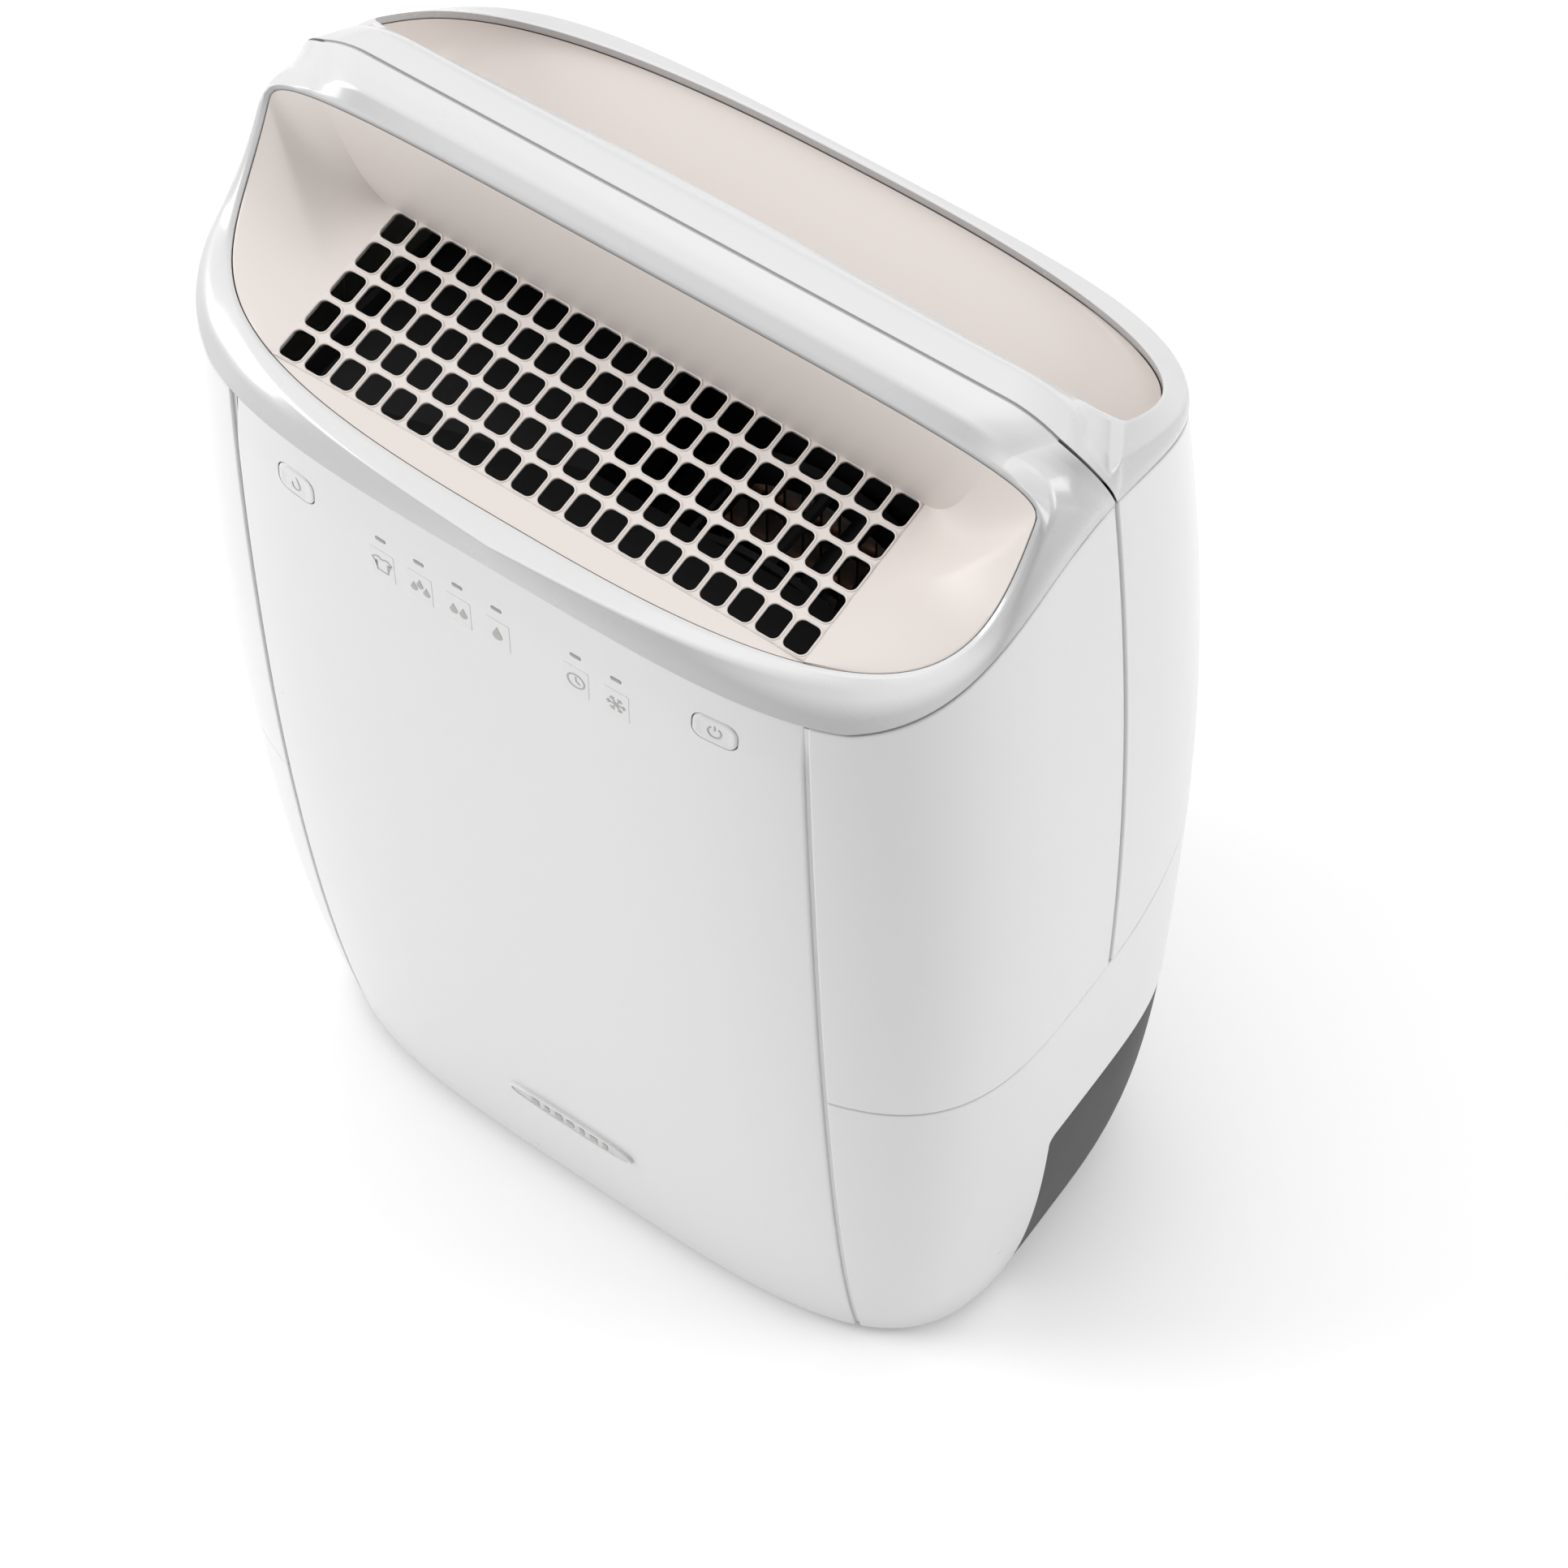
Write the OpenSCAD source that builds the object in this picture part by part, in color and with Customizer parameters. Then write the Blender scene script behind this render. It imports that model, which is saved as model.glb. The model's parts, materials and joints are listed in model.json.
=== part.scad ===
// Compact compressor dehumidifier: a free-standing column with a sloped outlet at the
// front of the top, a fixed carry bar across the middle and a hand scoop behind it.
// X runs to the right seen from the front, the front faces -Y and Z is up.
// The origin is on the floor under the middle of the body.

/* [Body] */
// Full width of the body at its widest
body_w = 335; // [330:1:345]
// Full depth of the body at its deepest
body_d = 210; // [208:1:214]
// Height of the middle of the carry bar above the floor
body_h = 500; // [498:1:506]
// Wall thickness of the moulded shells
wall = 2.4; // [2:0.1:2.6]
// Gap between neighbouring shells
seam = 0.5; // [0.4:0.1:0.7]

/* [Outlet] */
// Number of holes across the outlet grille
grille_cols = 20; // [16:1:20]
// Number of rows of holes in the outlet grille
grille_rows = 5; // [4:1:5]
// Spacing of the holes across the grille
grille_pitch_x = 10.08; // [9.5:0.01:10.1]
// Spacing of the rows of holes
grille_pitch_y = 12.76; // [12:0.01:12.8]

/* [Fan] */
// Radius of the blower wheel
fan_r = 66; // [60:1:68]
// Number of blades on the blower wheel
fan_blades = 24; // [16:1:28]

/* [Controls] */
// Distance of each push button from the middle of the front
button_x = 81; // [76:1:84]
// Height of the push buttons and the lamps above the floor
button_z = 411; // [409:1:413]
// Travel of a push button
button_travel = 1; // [0.6:0.1:1]

/* [Hidden] */

white = [0.93, 0.93, 0.93];
cream = [0.88, 0.85, 0.81];
smoke = [0.36, 0.36, 0.37];
steel = [0.72, 0.73, 0.75];
copper = [0.72, 0.45, 0.3];
rubber = [0.13, 0.13, 0.14];
dull = [0.6, 0.61, 0.63];
board_green = [0.1, 0.35, 0.2];

// Outer form: how the sides, front and back draw in above and below their widest height
waist_z = 200;
foot_in = 15;
top_in = 17;
belly_z = 320;
front_tuck = 20;
back_lean = 15;
back_tuck = 8;
front_n = 3.85;
back_n = 4;

// Heights and places of the seams
floor_gap = 5;
shell_low = 6;
groove_low_x = 121;
groove_draw = 11;
groove_top_z = 421;
part_y = 7.5;
side_seam_z = 213;
seam_rise = 24;
crest_z = 459;
edge_z = 430;
panel_set_back = 1.5;

// Round ports in the back: the drain on the left and the cord inlet on the right
port_x = 70;
port_z = 176;
port_half = 11;
port_deep = 12;
port_sunk = 0.8;
port_back = 1.6;
drain_r = 6;

// Tank bay
tank_front_y = -20.5;
tank_top_z = 125;
deck_z = 127.5;
deck_t = 3;
drip_x = 60;
drip_y = 42;
spout_r = 6;

// Outlet opening and the grille in its floor
opening_x = 142.8;
opening_y = -29;
opening_front = 64.5;
opening_back = 5.7;
opening_front_n = 2.84;
opening_back_n = 5;
opening_low_z = 443.2;
opening_rise = 49.3;
opening_bend = 3;
rim_skirt = 1.6;
fit_gap = 0.3;
bowl_t = 1.3;
grille_y = -52.1;
grille_z = 446.8;
grille_tilt = 8.9;
grille_bar_x = 1.7;
grille_bar_y = 2.2;
grille_depth = 4;
grille_margin = 1.4;
grille_corner = 1.8;
grille_n = 32;

// Carry bar and hand scoop
groove_y = -8;
bar_crown = 10.5;
bar_flat_x = 118;
bar_back_y = 16;
bar_skirt = 13;
scoop_x = 141.8;
scoop_y = 19;
scoop_back = 68.2;
scoop_n = 2.9;
scoop_front_n = 8;
scoop_high_z = 481;
scoop_crown = 6;
scoop_fall = 0.63;
scoop_floor_z = 436;

// Refrigerant circuit and fan
compressor_x = -98;
compressor_y = -35;
compressor_r = 50;
compressor_low = 139;
compressor_top = 318;
can_wall = 9;
can_dome = 16;
pipe_x = 20;
bolt_ring = 38;
coil_x = 106;
coil_low = 236;
coil_high = 408;
evaporator_y = 61;
condenser_y = 35;
coil_d = 18;
coil_fins = 26;
fin_t = 1;
end_t = 1.5;
tube_r = 3.5;
tube_margin = 16;
coil_x1 = 92;
fan_x = 42;
fan_z = 318;
fan_front_y = -26;
fan_back_y = 16;
shaft_r = 4;
motor_r = 36;
motor_front_y = -76;
motor_back_y = -44;
plate_y = -42;

// Intake in the rear cover
intake_x = 106;
intake_low = 252;
intake_high = 410;

// Buttons, lamps and their board
button_w = 15.6;
button_h = 11;
button_gap = 0.4;
lamp_xs = [-45.6, -30.4, -15.2, 0, 30.4, 45.6];
lamp_w = 4;
lamp_h = 1.5;
board_y = -91;
switch_h = 3.6;
badge_z = 70;

function lerp(a, b, s) = a + (b - a) * s;
function clamp01(s) = min(1, max(0, s));
function ease(s) = let(c = clamp01(s)) c * c * (3 - 2 * c);
function spread(a, b, count) = [for (i = [0:count]) lerp(a, b, i / count)];

// Half width, front and back of the body at height z
function half_w(z) = body_w / 2 - (z < waist_z
    ? foot_in * pow((waist_z - z) / waist_z, 3.5)
    : top_in * pow((z - waist_z) / 250, 2.2));
function front_y(z) = -body_d / 2 + front_tuck * pow(abs(z - belly_z) / belly_z, 2.3);
function back_y(z) = body_d / 2 - (z > waist_z
    ? back_lean * pow((z - waist_z) / 250, 2)
    : back_tuck * pow((waist_z - z) / waist_z, 2));
function mid_y(z) = (front_y(z) + back_y(z)) / 2;
function half_d(z) = (back_y(z) - front_y(z)) / 2;

// Point of the outer form at ring angle t and height z, moved inwards by d
function form_point(t, z, d = 0) =
    let(c = cos(t), s = sin(t), e = 2 / (s < 0 ? front_n : back_n))
    [(half_w(z) - d) * sign(c) * pow(abs(c), e),
     mid_y(z) + (half_d(z) - d) * sign(s) * pow(abs(s), e), z];
// Ring angle on the right side where the form, moved inwards by d, has a given x or y
function angle_at_x(x, z, d = 0) = -acos(pow(min(1, x / (half_w(z) - d)), front_n / 2));
function back_angle(x, z, d = 0) = acos(pow(min(1, x / (half_w(z) - d)), back_n / 2));
function angle_at_y(y, z, d = 0) =
    let(s = (y - mid_y(z)) / (half_d(z) - d))
    s < 0 ? -asin(pow(-s, front_n / 2)) : asin(pow(s, back_n / 2));
// Ring angles on the right side from the side parting line to the edge of the intake
function rear_angles(y0, z, d = 0) = spread(angle_at_y(y0, z, d), back_angle(intake_x, z, d), 8);
function mirrored_angles(right) = [for (i = [len(right) - 1:-1:0]) 180 - right[i]];
// Depth of the front face and of the back face at x
function face_y(x, z, d = 0) =
    mid_y(z) - (half_d(z) - d) * pow(1 - pow(min(1, abs(x) / (half_w(z) - d)), front_n), 1 / front_n);
function rear_face_y(x, z, d = 0) =
    mid_y(z) + (half_d(z) - d) * pow(1 - pow(min(1, abs(x) / (half_w(z) - d)), back_n), 1 / back_n);

function groove_x(z) = groove_low_x - groove_draw * pow(z / groove_top_z, 2);
function side_seam(y) = side_seam_z + seam_rise * ease((y - 10) / 75);
seam_z = side_seam_z + seam_rise / 2;
function seam_at(t) = side_seam(form_point(t, seam_z)[1]);
function edge_height(y) = max(edge_z, crest_z - 30 * pow(abs(y + 2.5) / 90, 1.8));

// One solid between an outer and an inner grid of points: rows go up, columns go left to
// right seen from outside. holes lists [row, row, column, column] ranges that stay open.
module patch_solid(outer, inner, holes = []) {
    rows = len(outer);
    cols = len(outer[0]);
    count = rows * cols;
    function open(i, j) = i < 0 || j < 0 || i > rows - 2 || j > cols - 2
        || len([for (h = holes) if (i >= h[0] && i < h[1] && j >= h[2] && j < h[3]) 1]) > 0;
    cells = [for (i = [0:rows - 2], j = [0:cols - 2]) if (!open(i, j)) [i, j]];
    faces = [for (c = cells) each
        let(i = c[0], j = c[1], a = i * cols + j, b = a + 1, d = a + cols, e = d + 1, n = count)
        concat([[a, d, e], [a, e, b], [n + a, n + e, n + d], [n + a, n + b, n + e]],
            open(i - 1, j) ? [[a, b, n + b], [a, n + b, n + a]] : [],
            open(i + 1, j) ? [[d, n + e, e], [d, n + d, n + e]] : [],
            open(i, j - 1) ? [[a, n + d, d], [a, n + a, n + d]] : [],
            open(i, j + 1) ? [[b, e, n + e], [b, n + e, n + b]] : [])];
    polyhedron(concat([for (r = outer) each r], [for (r = inner) each r]), faces);
}

// One solid from a stack of closed loops, each running counterclockwise seen from above.
// The first and last loops are capped, or joined to each other when ring is true.
module stack_solid(loops, ring = false) {
    n = len(loops[0]);
    count = len(loops);
    walls = [for (i = [0:count - (ring ? 1 : 2)], j = [0:n - 1]) each
        let(a = i * n + j, b = i * n + (j + 1) % n, c = ((i + 1) % count) * n + j,
            d = ((i + 1) % count) * n + (j + 1) % n)
        [[a, c, d], [a, d, b]]];
    caps = ring ? [] : [[for (j = [0:n - 1]) j], [for (j = [n - 1:-1:0]) (count - 1) * n + j]];
    polyhedron([for (l = loops) each l], concat(walls, caps));
}

module between(x0, x1, y0, y1, z0, z1) {
    translate([x0, y0, z0]) cube([x1 - x0, y1 - y0, z1 - z0]);
}

module along_y(x, z, y0, y1, r) {
    translate([x, y1, z]) rotate([90, 0, 0]) cylinder(h = y1 - y0, r = r, $fn = 48);
}

module upright(x, y, z0, z1, r) {
    translate([x, y, z0]) cylinder(h = z1 - z0, r = r, $fn = 48);
}

// ---- Shells ----

// Set back of the front panel's face under the lip of the bezel
function panel_inset(z) = panel_set_back * ease((z - 405) / 25);
function panel_point(x, z, d) = [x, face_y(x, z, d + panel_inset(z)), z];

module front_panel() {
    button_half = button_w / 2 + button_gap;
    pane_half = lamp_w / 2 + 0.1;
    middle = [for (x = lamp_xs) each [x - pane_half, x + pane_half]];
    inner_xs = concat([-button_x - button_half, -button_x + button_half, -60], middle,
        [60, button_x - button_half, button_x + button_half]);
    zs = concat(spread(shell_low, 380, 12), [button_z - button_h / 2 - button_gap,
        button_z - lamp_h / 2 - 0.1, button_z + lamp_h / 2 + 0.1,
        button_z + button_h / 2 + button_gap, 424, edge_z - seam]);
    function xs(z) = let(g = groove_x(z) - seam) concat([-g, -(g + 90) / 2], inner_xs, [(g + 90) / 2, g]);
    lamp_holes = [for (i = [0:len(lamp_xs) - 1]) [14, 15, 5 + 2 * i, 6 + 2 * i]];
    color(white) patch_solid(
        [for (z = zs) [for (x = xs(z)) panel_point(x, z, 0)]],
        [for (z = zs) [for (x = xs(z)) panel_point(x, z, wall)]],
        concat([[13, 16, 2, 3], [13, 16, 18, 19]], lamp_holes));
}

// Side shell between the front groove, the side parting line, the side seam and the bezel
module side_shell(side) {
    rows = 14;
    cols = 12;
    function angle(s, z, d = 0) =
        lerp(angle_at_x(groove_x(z) + seam, z, d), angle_at_y(part_y - seam, z, d), s);
    function place(s, r, d) =
        let(y = form_point(angle(s, 420), 420)[1], z0 = side_seam(y) + seam, z1 = edge_height(y) - seam,
            z = lerp(z0, z1, r), p = form_point(angle(s, z, d), z, d))
        [side * p[0], p[1], z];
    order = side > 0 ? spread(0, 1, cols) : spread(1, 0, cols);
    color(white) patch_solid(
        [for (r = spread(0, 1, rows)) [for (s = order) place(s, r, 0)]],
        [for (r = spread(0, 1, rows)) [for (s = order) place(s, r, wall)]]);
}

module side_shell_left() side_shell(-1);
module side_shell_right() side_shell(1);

// Upper rear half, with the intake opening in the back
module rear_cover() {
    function angles(z, d = 0) =
        let(right = rear_angles(part_y + seam, z, d), a1 = right[8], left = mirrored_angles(right))
        concat(right, [for (k = [1:7]) lerp(a1, 180 - a1, k / 8)], left);
    function place(k, r, d) =
        let(z0 = seam_at(angles(seam_z)[k]) + seam,
            z1 = edge_height(form_point(angles(420)[k], 420)[1]) - seam,
            z = r < 2 ? lerp(z0, intake_low, r / 2) : r <= 8 ? lerp(intake_low, intake_high, (r - 2) / 6)
                : lerp(intake_high, z1, (r - 8) / 3))
        form_point(angles(z, d)[k], z, d);
    color(white) patch_solid(
        [for (r = [0:11]) [for (k = [0:24]) place(k, r, 0)]],
        [for (r = [0:11]) [for (k = [0:24]) place(k, r, wall)]],
        [[2, 8, 8, 16]]);
}

// Lower shell: a band runs right round the body above the tank bay, with square cut-outs
// for the two round ports, and a limb at each front corner carries it down to the floor
limb_cols = 7;
limb_top_z = tank_top_z + seam;
function limb_angles(z, d = 0) =
    spread(angle_at_x(groove_x(z) + seam, z, d), angle_at_y(tank_front_y, z, d), limb_cols);

module base_housing() {
    low_rows = 4;
    function right_angles(z, d) = concat(limb_angles(z, d), rear_angles(part_y, z, d),
        [back_angle(port_x + port_half, z, d), back_angle(port_x - port_half, z, d), 90]);
    function angles(z, d = 0) =
        let(right = right_angles(z, d), left = mirrored_angles(right))
        concat(right, [for (i = [1:len(left) - 1]) left[i]]);
    last = len(angles(port_z)) - 1;
    port_col = last / 2 - 2;
    function height(k, r) =
        r <= low_rows ? lerp(limb_top_z, port_z - port_half, r / low_rows)
        : lerp(port_z + port_half, seam_at(angles(seam_z)[k]) - seam, (r - low_rows - 1) / 2);
    function place(k, r, d) = let(z = height(k, r)) form_point(angles(z, d)[k], z, d);
    rows = [0:low_rows + 3];
    color(white) patch_solid(
        [for (r = rows) [for (k = [0:last]) place(k, r, 0)]],
        [for (r = rows) [for (k = [0:last]) place(k, r, wall)]],
        [[low_rows, low_rows + 1, port_col, port_col + 1],
         [low_rows, low_rows + 1, last - port_col - 1, last - port_col]]);
}

module base_limb(side) {
    zs = spread(shell_low, limb_top_z, 8);
    order = [for (k = [0:limb_cols]) side > 0 ? k : limb_cols - k];
    function place(k, z, d) =
        let(p = form_point(limb_angles(z, d)[k], z, d)) [side * p[0], p[1], z];
    color(white) patch_solid(
        [for (z = zs) [for (k = order) place(k, z, 0)]],
        [for (z = zs) [for (k = order) place(k, z, wall)]]);
}

module base_limb_left() base_limb(-1);
module base_limb_right() base_limb(1);

// ---- Top frames: each is a ring of sections from the outer edge over a crest to a rim ----

arc_steps = 16;
flank_steps = 4;
strip_steps = 8;
flank_top_z = body_h - bar_crown;
function bar_z(x) =
    body_h - bar_crown * pow(max(0, abs(x) - bar_flat_x) / (half_w(flank_top_z) - bar_flat_x), 2);
function full_loop(half) =
    concat(half, [for (i = [len(half) - 2:-1:1]) [-half[i][0], half[i][1], half[i][2]]]);
function side_x(y, z, d) = form_point(angle_at_y(y, z), z, d)[0];

// Rim of the outlet opening at angle f
function opening_point(f) =
    let(c = cos(f), s = sin(f), e = 2 / (s < 0 ? opening_front_n : opening_back_n),
        x = opening_x * sign(c) * pow(abs(c), e),
        y = opening_y + (s < 0 ? opening_front : opening_back) * sign(s) * pow(abs(s), e),
        w = clamp01((y - opening_y + opening_front) / (opening_front + opening_back)))
    [x, y, opening_low_z + opening_rise * pow(w, opening_bend)];
// Rim of the hand scoop at angle f
function scoop_point(f) =
    let(c = cos(f), s = sin(f), e = 2 / (s < 0 ? scoop_front_n : scoop_n),
        x = scoop_x * sign(c) * pow(abs(c), e),
        y = scoop_y + (s < 0 ? scoop_y - bar_back_y : scoop_back) * sign(s) * pow(abs(s), e))
    [x, y, scoop_high_z + scoop_crown * (1 - pow(x / scoop_x, 2)) - scoop_fall * (y - bar_back_y)];

function bezel_edges() = concat(
    [for (i = [0:arc_steps]) let(t = lerp(-90, angle_at_y(part_y - seam / 2, 445), i / arc_steps),
        y = form_point(t, 445)[1]) form_point(t, edge_height(y) + seam / 2)],
    [for (i = [1:flank_steps]) let(w = i / flank_steps, y = lerp(part_y, groove_y, w) - seam / 2,
        z = lerp(edge_height(part_y) + seam / 2, flank_top_z, w)) [side_x(y, z, 0), y, z]],
    [for (i = [1:strip_steps]) let(x = half_w(flank_top_z) * (1 - i / strip_steps))
        [x, groove_y - seam / 2, bar_z(x)]]);
// Shoulder of the bezel: k is its place in plan between the outer edge (0) and the rim (1),
// so that the brow at the front leans out over the front panel
brow_k = -0.1;
flank_k = 0.72;
brow_rise = 13;
function between_points(p, q, k, z) = [lerp(p[0], q[0], k), lerp(p[1], q[1], k), z];
function bezel_crests() = let(edges = bezel_edges(), rims = bezel_rims())
    [for (i = [0:len(edges) - 1]) let(p = edges[i], q = rims[i],
        turn = ease((abs(p[0]) - 60) / 65), bar = ease((i - arc_steps) / flank_steps),
        k = lerp(lerp(brow_k, flank_k, turn), 0.56, bar),
        z = lerp(lerp(p[2] + brow_rise, q[2] - 1, turn), p[2] - 1.8, bar))
    between_points(p, q, k, z)];
function bezel_rims() = concat(
    [for (i = [0:arc_steps]) opening_point(lerp(-90, 5, i / arc_steps))],
    [for (i = [1:flank_steps]) opening_point(lerp(5, 42, i / flank_steps))],
    [for (i = [1:strip_steps]) opening_point(lerp(42, 90, i / strip_steps))]);
function handle_edges() = concat(
    [for (i = [0:strip_steps]) let(x = half_w(flank_top_z) * i / strip_steps)
        [x, groove_y + seam / 2, bar_z(x)]],
    [for (i = [1:flank_steps]) let(w = i / flank_steps, y = lerp(groove_y, part_y, w) + seam / 2,
        z = lerp(flank_top_z, edge_height(part_y) + seam / 2, w)) [side_x(y, z, 0), y, z]],
    [for (i = [1:arc_steps]) let(t = lerp(angle_at_y(part_y + seam / 2, 445), 90, i / arc_steps),
        y = form_point(t, 445)[1]) form_point(t, edge_height(y) + seam / 2)]);
// Shoulder of the handle frame: half way over the bar, then close to the outer edge
function handle_crests() = let(edges = handle_edges(), rims = handle_rims()) [for (i = [0:len(edges) - 1])
    let(p = edges[i], q = rims[i], ring = ease((i - strip_steps) / flank_steps))
    between_points(p, q, lerp(0.5, 0.1, ring), lerp(p[2] - 4, q[2] - 1, ring))];
function handle_rims() = concat(
    [for (i = [0:strip_steps]) scoop_point(lerp(-90, -42, i / strip_steps))],
    [for (i = [1:flank_steps]) scoop_point(lerp(-42, -5, i / flank_steps))],
    [for (i = [1:arc_steps]) scoop_point(lerp(-5, 90, i / arc_steps))]);

// Point moved towards a target in plan by a distance, and down
function drawn_in(p, target, distance, down) =
    let(v = [target[0] - p[0], target[1] - p[1]], k = distance / max(norm(v), distance))
    [p[0] + v[0] * k, p[1] + v[1] * k, p[2] - down];
module top_frame(edges, crests, rims, edge_drop, crest_drop, skirts) {
    n = len(edges) - 1;
    stack_solid([
        full_loop([for (i = [0:n]) rims[i] - [0, 0, skirts[i]]]),
        full_loop([for (i = [0:n]) drawn_in(crests[i], rims[i], wall, crest_drop[i])]),
        full_loop([for (i = [0:n]) drawn_in(edges[i], rims[i], wall, edge_drop[i])]),
        full_loop(edges), full_loop(crests), full_loop(rims)], ring = true);
}

module outlet_bezel() {
    n = arc_steps + flank_steps + strip_steps;
    on_strip = [for (i = [0:n]) ease((i - arc_steps) / flank_steps)];
    color(white) top_frame(bezel_edges(), bezel_crests(), bezel_rims(),
        [for (s = on_strip) 5 * s], [for (s = on_strip) wall + 3 * s], [for (s = on_strip) rim_skirt]);
}

module handle_frame() {
    n = arc_steps + flank_steps + strip_steps;
    on_bar = [for (i = [0:n]) 1 - ease((i - strip_steps) / flank_steps)];
    color(white) top_frame(handle_edges(), handle_crests(), handle_rims(),
        [for (s = on_bar) 12 * s], [for (s = on_bar) wall + 12 * s],
        [for (s = on_bar) lerp(rim_skirt, bar_skirt, s)]);
}

// Floor outline of the funnel: a rounded rectangle round the grille, tilted with it
grille_half_x = grille_cols * grille_pitch_x / 2 + grille_margin;
grille_half_y = grille_rows * grille_pitch_y / 2 + grille_margin;
// Point moved outwards in plan by out and down: half holds the reach to the side, front and back
function moved_out(p, mid_y, half, out, down) =
    [p[0] * (1 + out / half[0]),
     p[1] + out * (p[1] - mid_y) / (p[1] < mid_y ? half[1] : half[2]), p[2] - down];

module outlet_funnel() {
    half = [opening_x, opening_front, opening_back];
    top = full_loop([for (p = bezel_rims()) moved_out(p, opening_y, half, -fit_gap, rim_skirt + fit_gap)]);
    n = len(top);
    angles = [for (p = top) atan2((p[1] - grille_y) / grille_half_y, p[0] / grille_half_x)];
    floor_loop = [for (a = angles)
        let(m = pow(pow(abs(cos(a)), grille_n) + pow(abs(sin(a)), grille_n), 1 / grille_n))
        [grille_half_x * cos(a) / m, grille_y + grille_half_y * sin(a) / m * cos(grille_tilt),
         grille_z + grille_half_y * sin(a) / m * sin(grille_tilt)]];
    function blend(s) = [for (j = [0:n - 1])
        let(w = pow(s, 1.6), h = 1 - pow(1 - s, 1.6))
        [lerp(top[j][0], floor_loop[j][0], w), lerp(top[j][1], floor_loop[j][1], w),
         lerp(top[j][2], floor_loop[j][2], h)]];
    function outside(s) = [for (p = blend(s)) moved_out(p, opening_y, half, wall * s, bowl_t * (1 + s))];
    function inside(s) = [for (p = blend(s)) moved_out(p, opening_y, half, -bowl_t * (1 - s), 0)];
    color(cream) stack_solid([outside(1), outside(0.66), outside(0.33), outside(0), inside(0), inside(0.2),
        inside(0.4), inside(0.6), inside(0.8), inside(1)], ring = true);
}

module outlet_grille() {
    w = grille_half_x - 0.3;
    h = grille_half_y - 0.3;
    color(cream) translate([0, grille_y, grille_z]) rotate([grille_tilt, 0, 0]) {
        difference() {
            translate([0, 0, -grille_depth]) linear_extrude(grille_depth) polygon([
                [grille_corner - w, -h], [w - grille_corner, -h], [w, grille_corner - h],
                [w, h], [-w, h], [-w, grille_corner - h]]);
            between(-w + grille_margin, w - grille_margin, -h + grille_margin, h - grille_margin,
                -grille_depth - 1, 1);
        }
        for (i = [1:grille_cols - 1]) let(x = (i - grille_cols / 2) * grille_pitch_x)
            between(x - grille_bar_x / 2, x + grille_bar_x / 2, -h + 1, h - 1, -grille_depth, 0);
        for (i = [1:grille_rows - 1]) let(y = (i - grille_rows / 2) * grille_pitch_y)
            between(-w + 1, w - 1, y - grille_bar_y / 2, y + grille_bar_y / 2, -grille_depth, 0);
    }
}

// Hand scoop: a bowl that hangs from the rim and runs forward under the carry bar
module rear_scoop() {
    n = arc_steps + flank_steps + strip_steps;
    middle = [0, scoop_y + 22];
    half = [scoop_x, middle[1] - bar_back_y, scoop_y + scoop_back - middle[1]];
    skirts = [for (i = [0:n]) lerp(rim_skirt, bar_skirt, 1 - ease((i - strip_steps) / flank_steps))];
    rims = handle_rims();
    top = full_loop([for (i = [0:n]) moved_out(rims[i], middle[1], half, -fit_gap, skirts[i] + fit_gap)]);
    count = len(top);
    floor_half_x = 118;
    floor_half_y = 24;
    floor_y = 27;
    function bottom(j) = let(a = atan2((top[j][1] - middle[1]) / 40, top[j][0] / scoop_x),
        c = cos(a), s = sin(a))
        [floor_half_x * sign(c) * pow(abs(c), 0.7), floor_y + floor_half_y * sign(s) * pow(abs(s), 0.7),
         scoop_floor_z];
    function blend(s) = [for (j = [0:count - 1]) let(b = bottom(j), w = pow(s, 2), h = 1 - pow(1 - s, 1.7))
        [lerp(top[j][0], b[0], w), lerp(top[j][1], b[1], w), lerp(top[j][2], b[2], h)]];
    function outside(s) = [for (p = blend(s)) moved_out(p, middle[1], half, wall * s, bowl_t * (1 + s))];
    function inside(s) = [for (p = blend(s)) moved_out(p, middle[1], half, -bowl_t * (1 - s), 0)];
    color(cream) stack_solid([outside(1), outside(0.66), outside(0.33), outside(0), inside(0), inside(0.2),
        inside(0.4), inside(0.6), inside(0.8), inside(1)]);
}

// ---- Floor, decks and feet ----

function outline(z, d, count = 48) =
    [for (i = [0:count - 1]) let(p = form_point(i * 360 / count, z, d)) [p[0], p[1]]];
// Outline of the body behind the tank bay's front, inset by d
function bay_outline(z, d, y0) =
    let(a = angle_at_y(y0, z))
    [for (s = spread(a, 180 - a, 30)) let(p = form_point(s, z, d)) [p[0], max(p[1], y0)]];

feet_at = [[-108, -50], [108, -50], [-108, 72], [108, 72]];
screws_at = [[-70, -62], [70, -62], [-70, 78], [70, 78]];
plate_t = 3;
tank_floor_z = 9.5;

module base_plate() {
    color(smoke) difference() {
        translate([0, 0, floor_gap]) linear_extrude(plate_t) polygon(outline(shell_low, wall + 1));
        for (p = screws_at) upright(p[0], p[1], 0, 12, 1.8);
        for (p = feet_at) upright(p[0], p[1], 0, 12, 4);
    }
}

module rubber_feet() {
    color(rubber) for (p = feet_at) {
        upright(p[0], p[1], 0, floor_gap, 11);
        upright(p[0], p[1], floor_gap, floor_gap + plate_t, 3.9);
    }
}

module base_screws() {
    color(steel) for (p = screws_at) {
        upright(p[0], p[1], 2.8, floor_gap, 3.4);
        upright(p[0], p[1], floor_gap, floor_gap + plate_t + 0.6, 1.6);
    }
}

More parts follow.
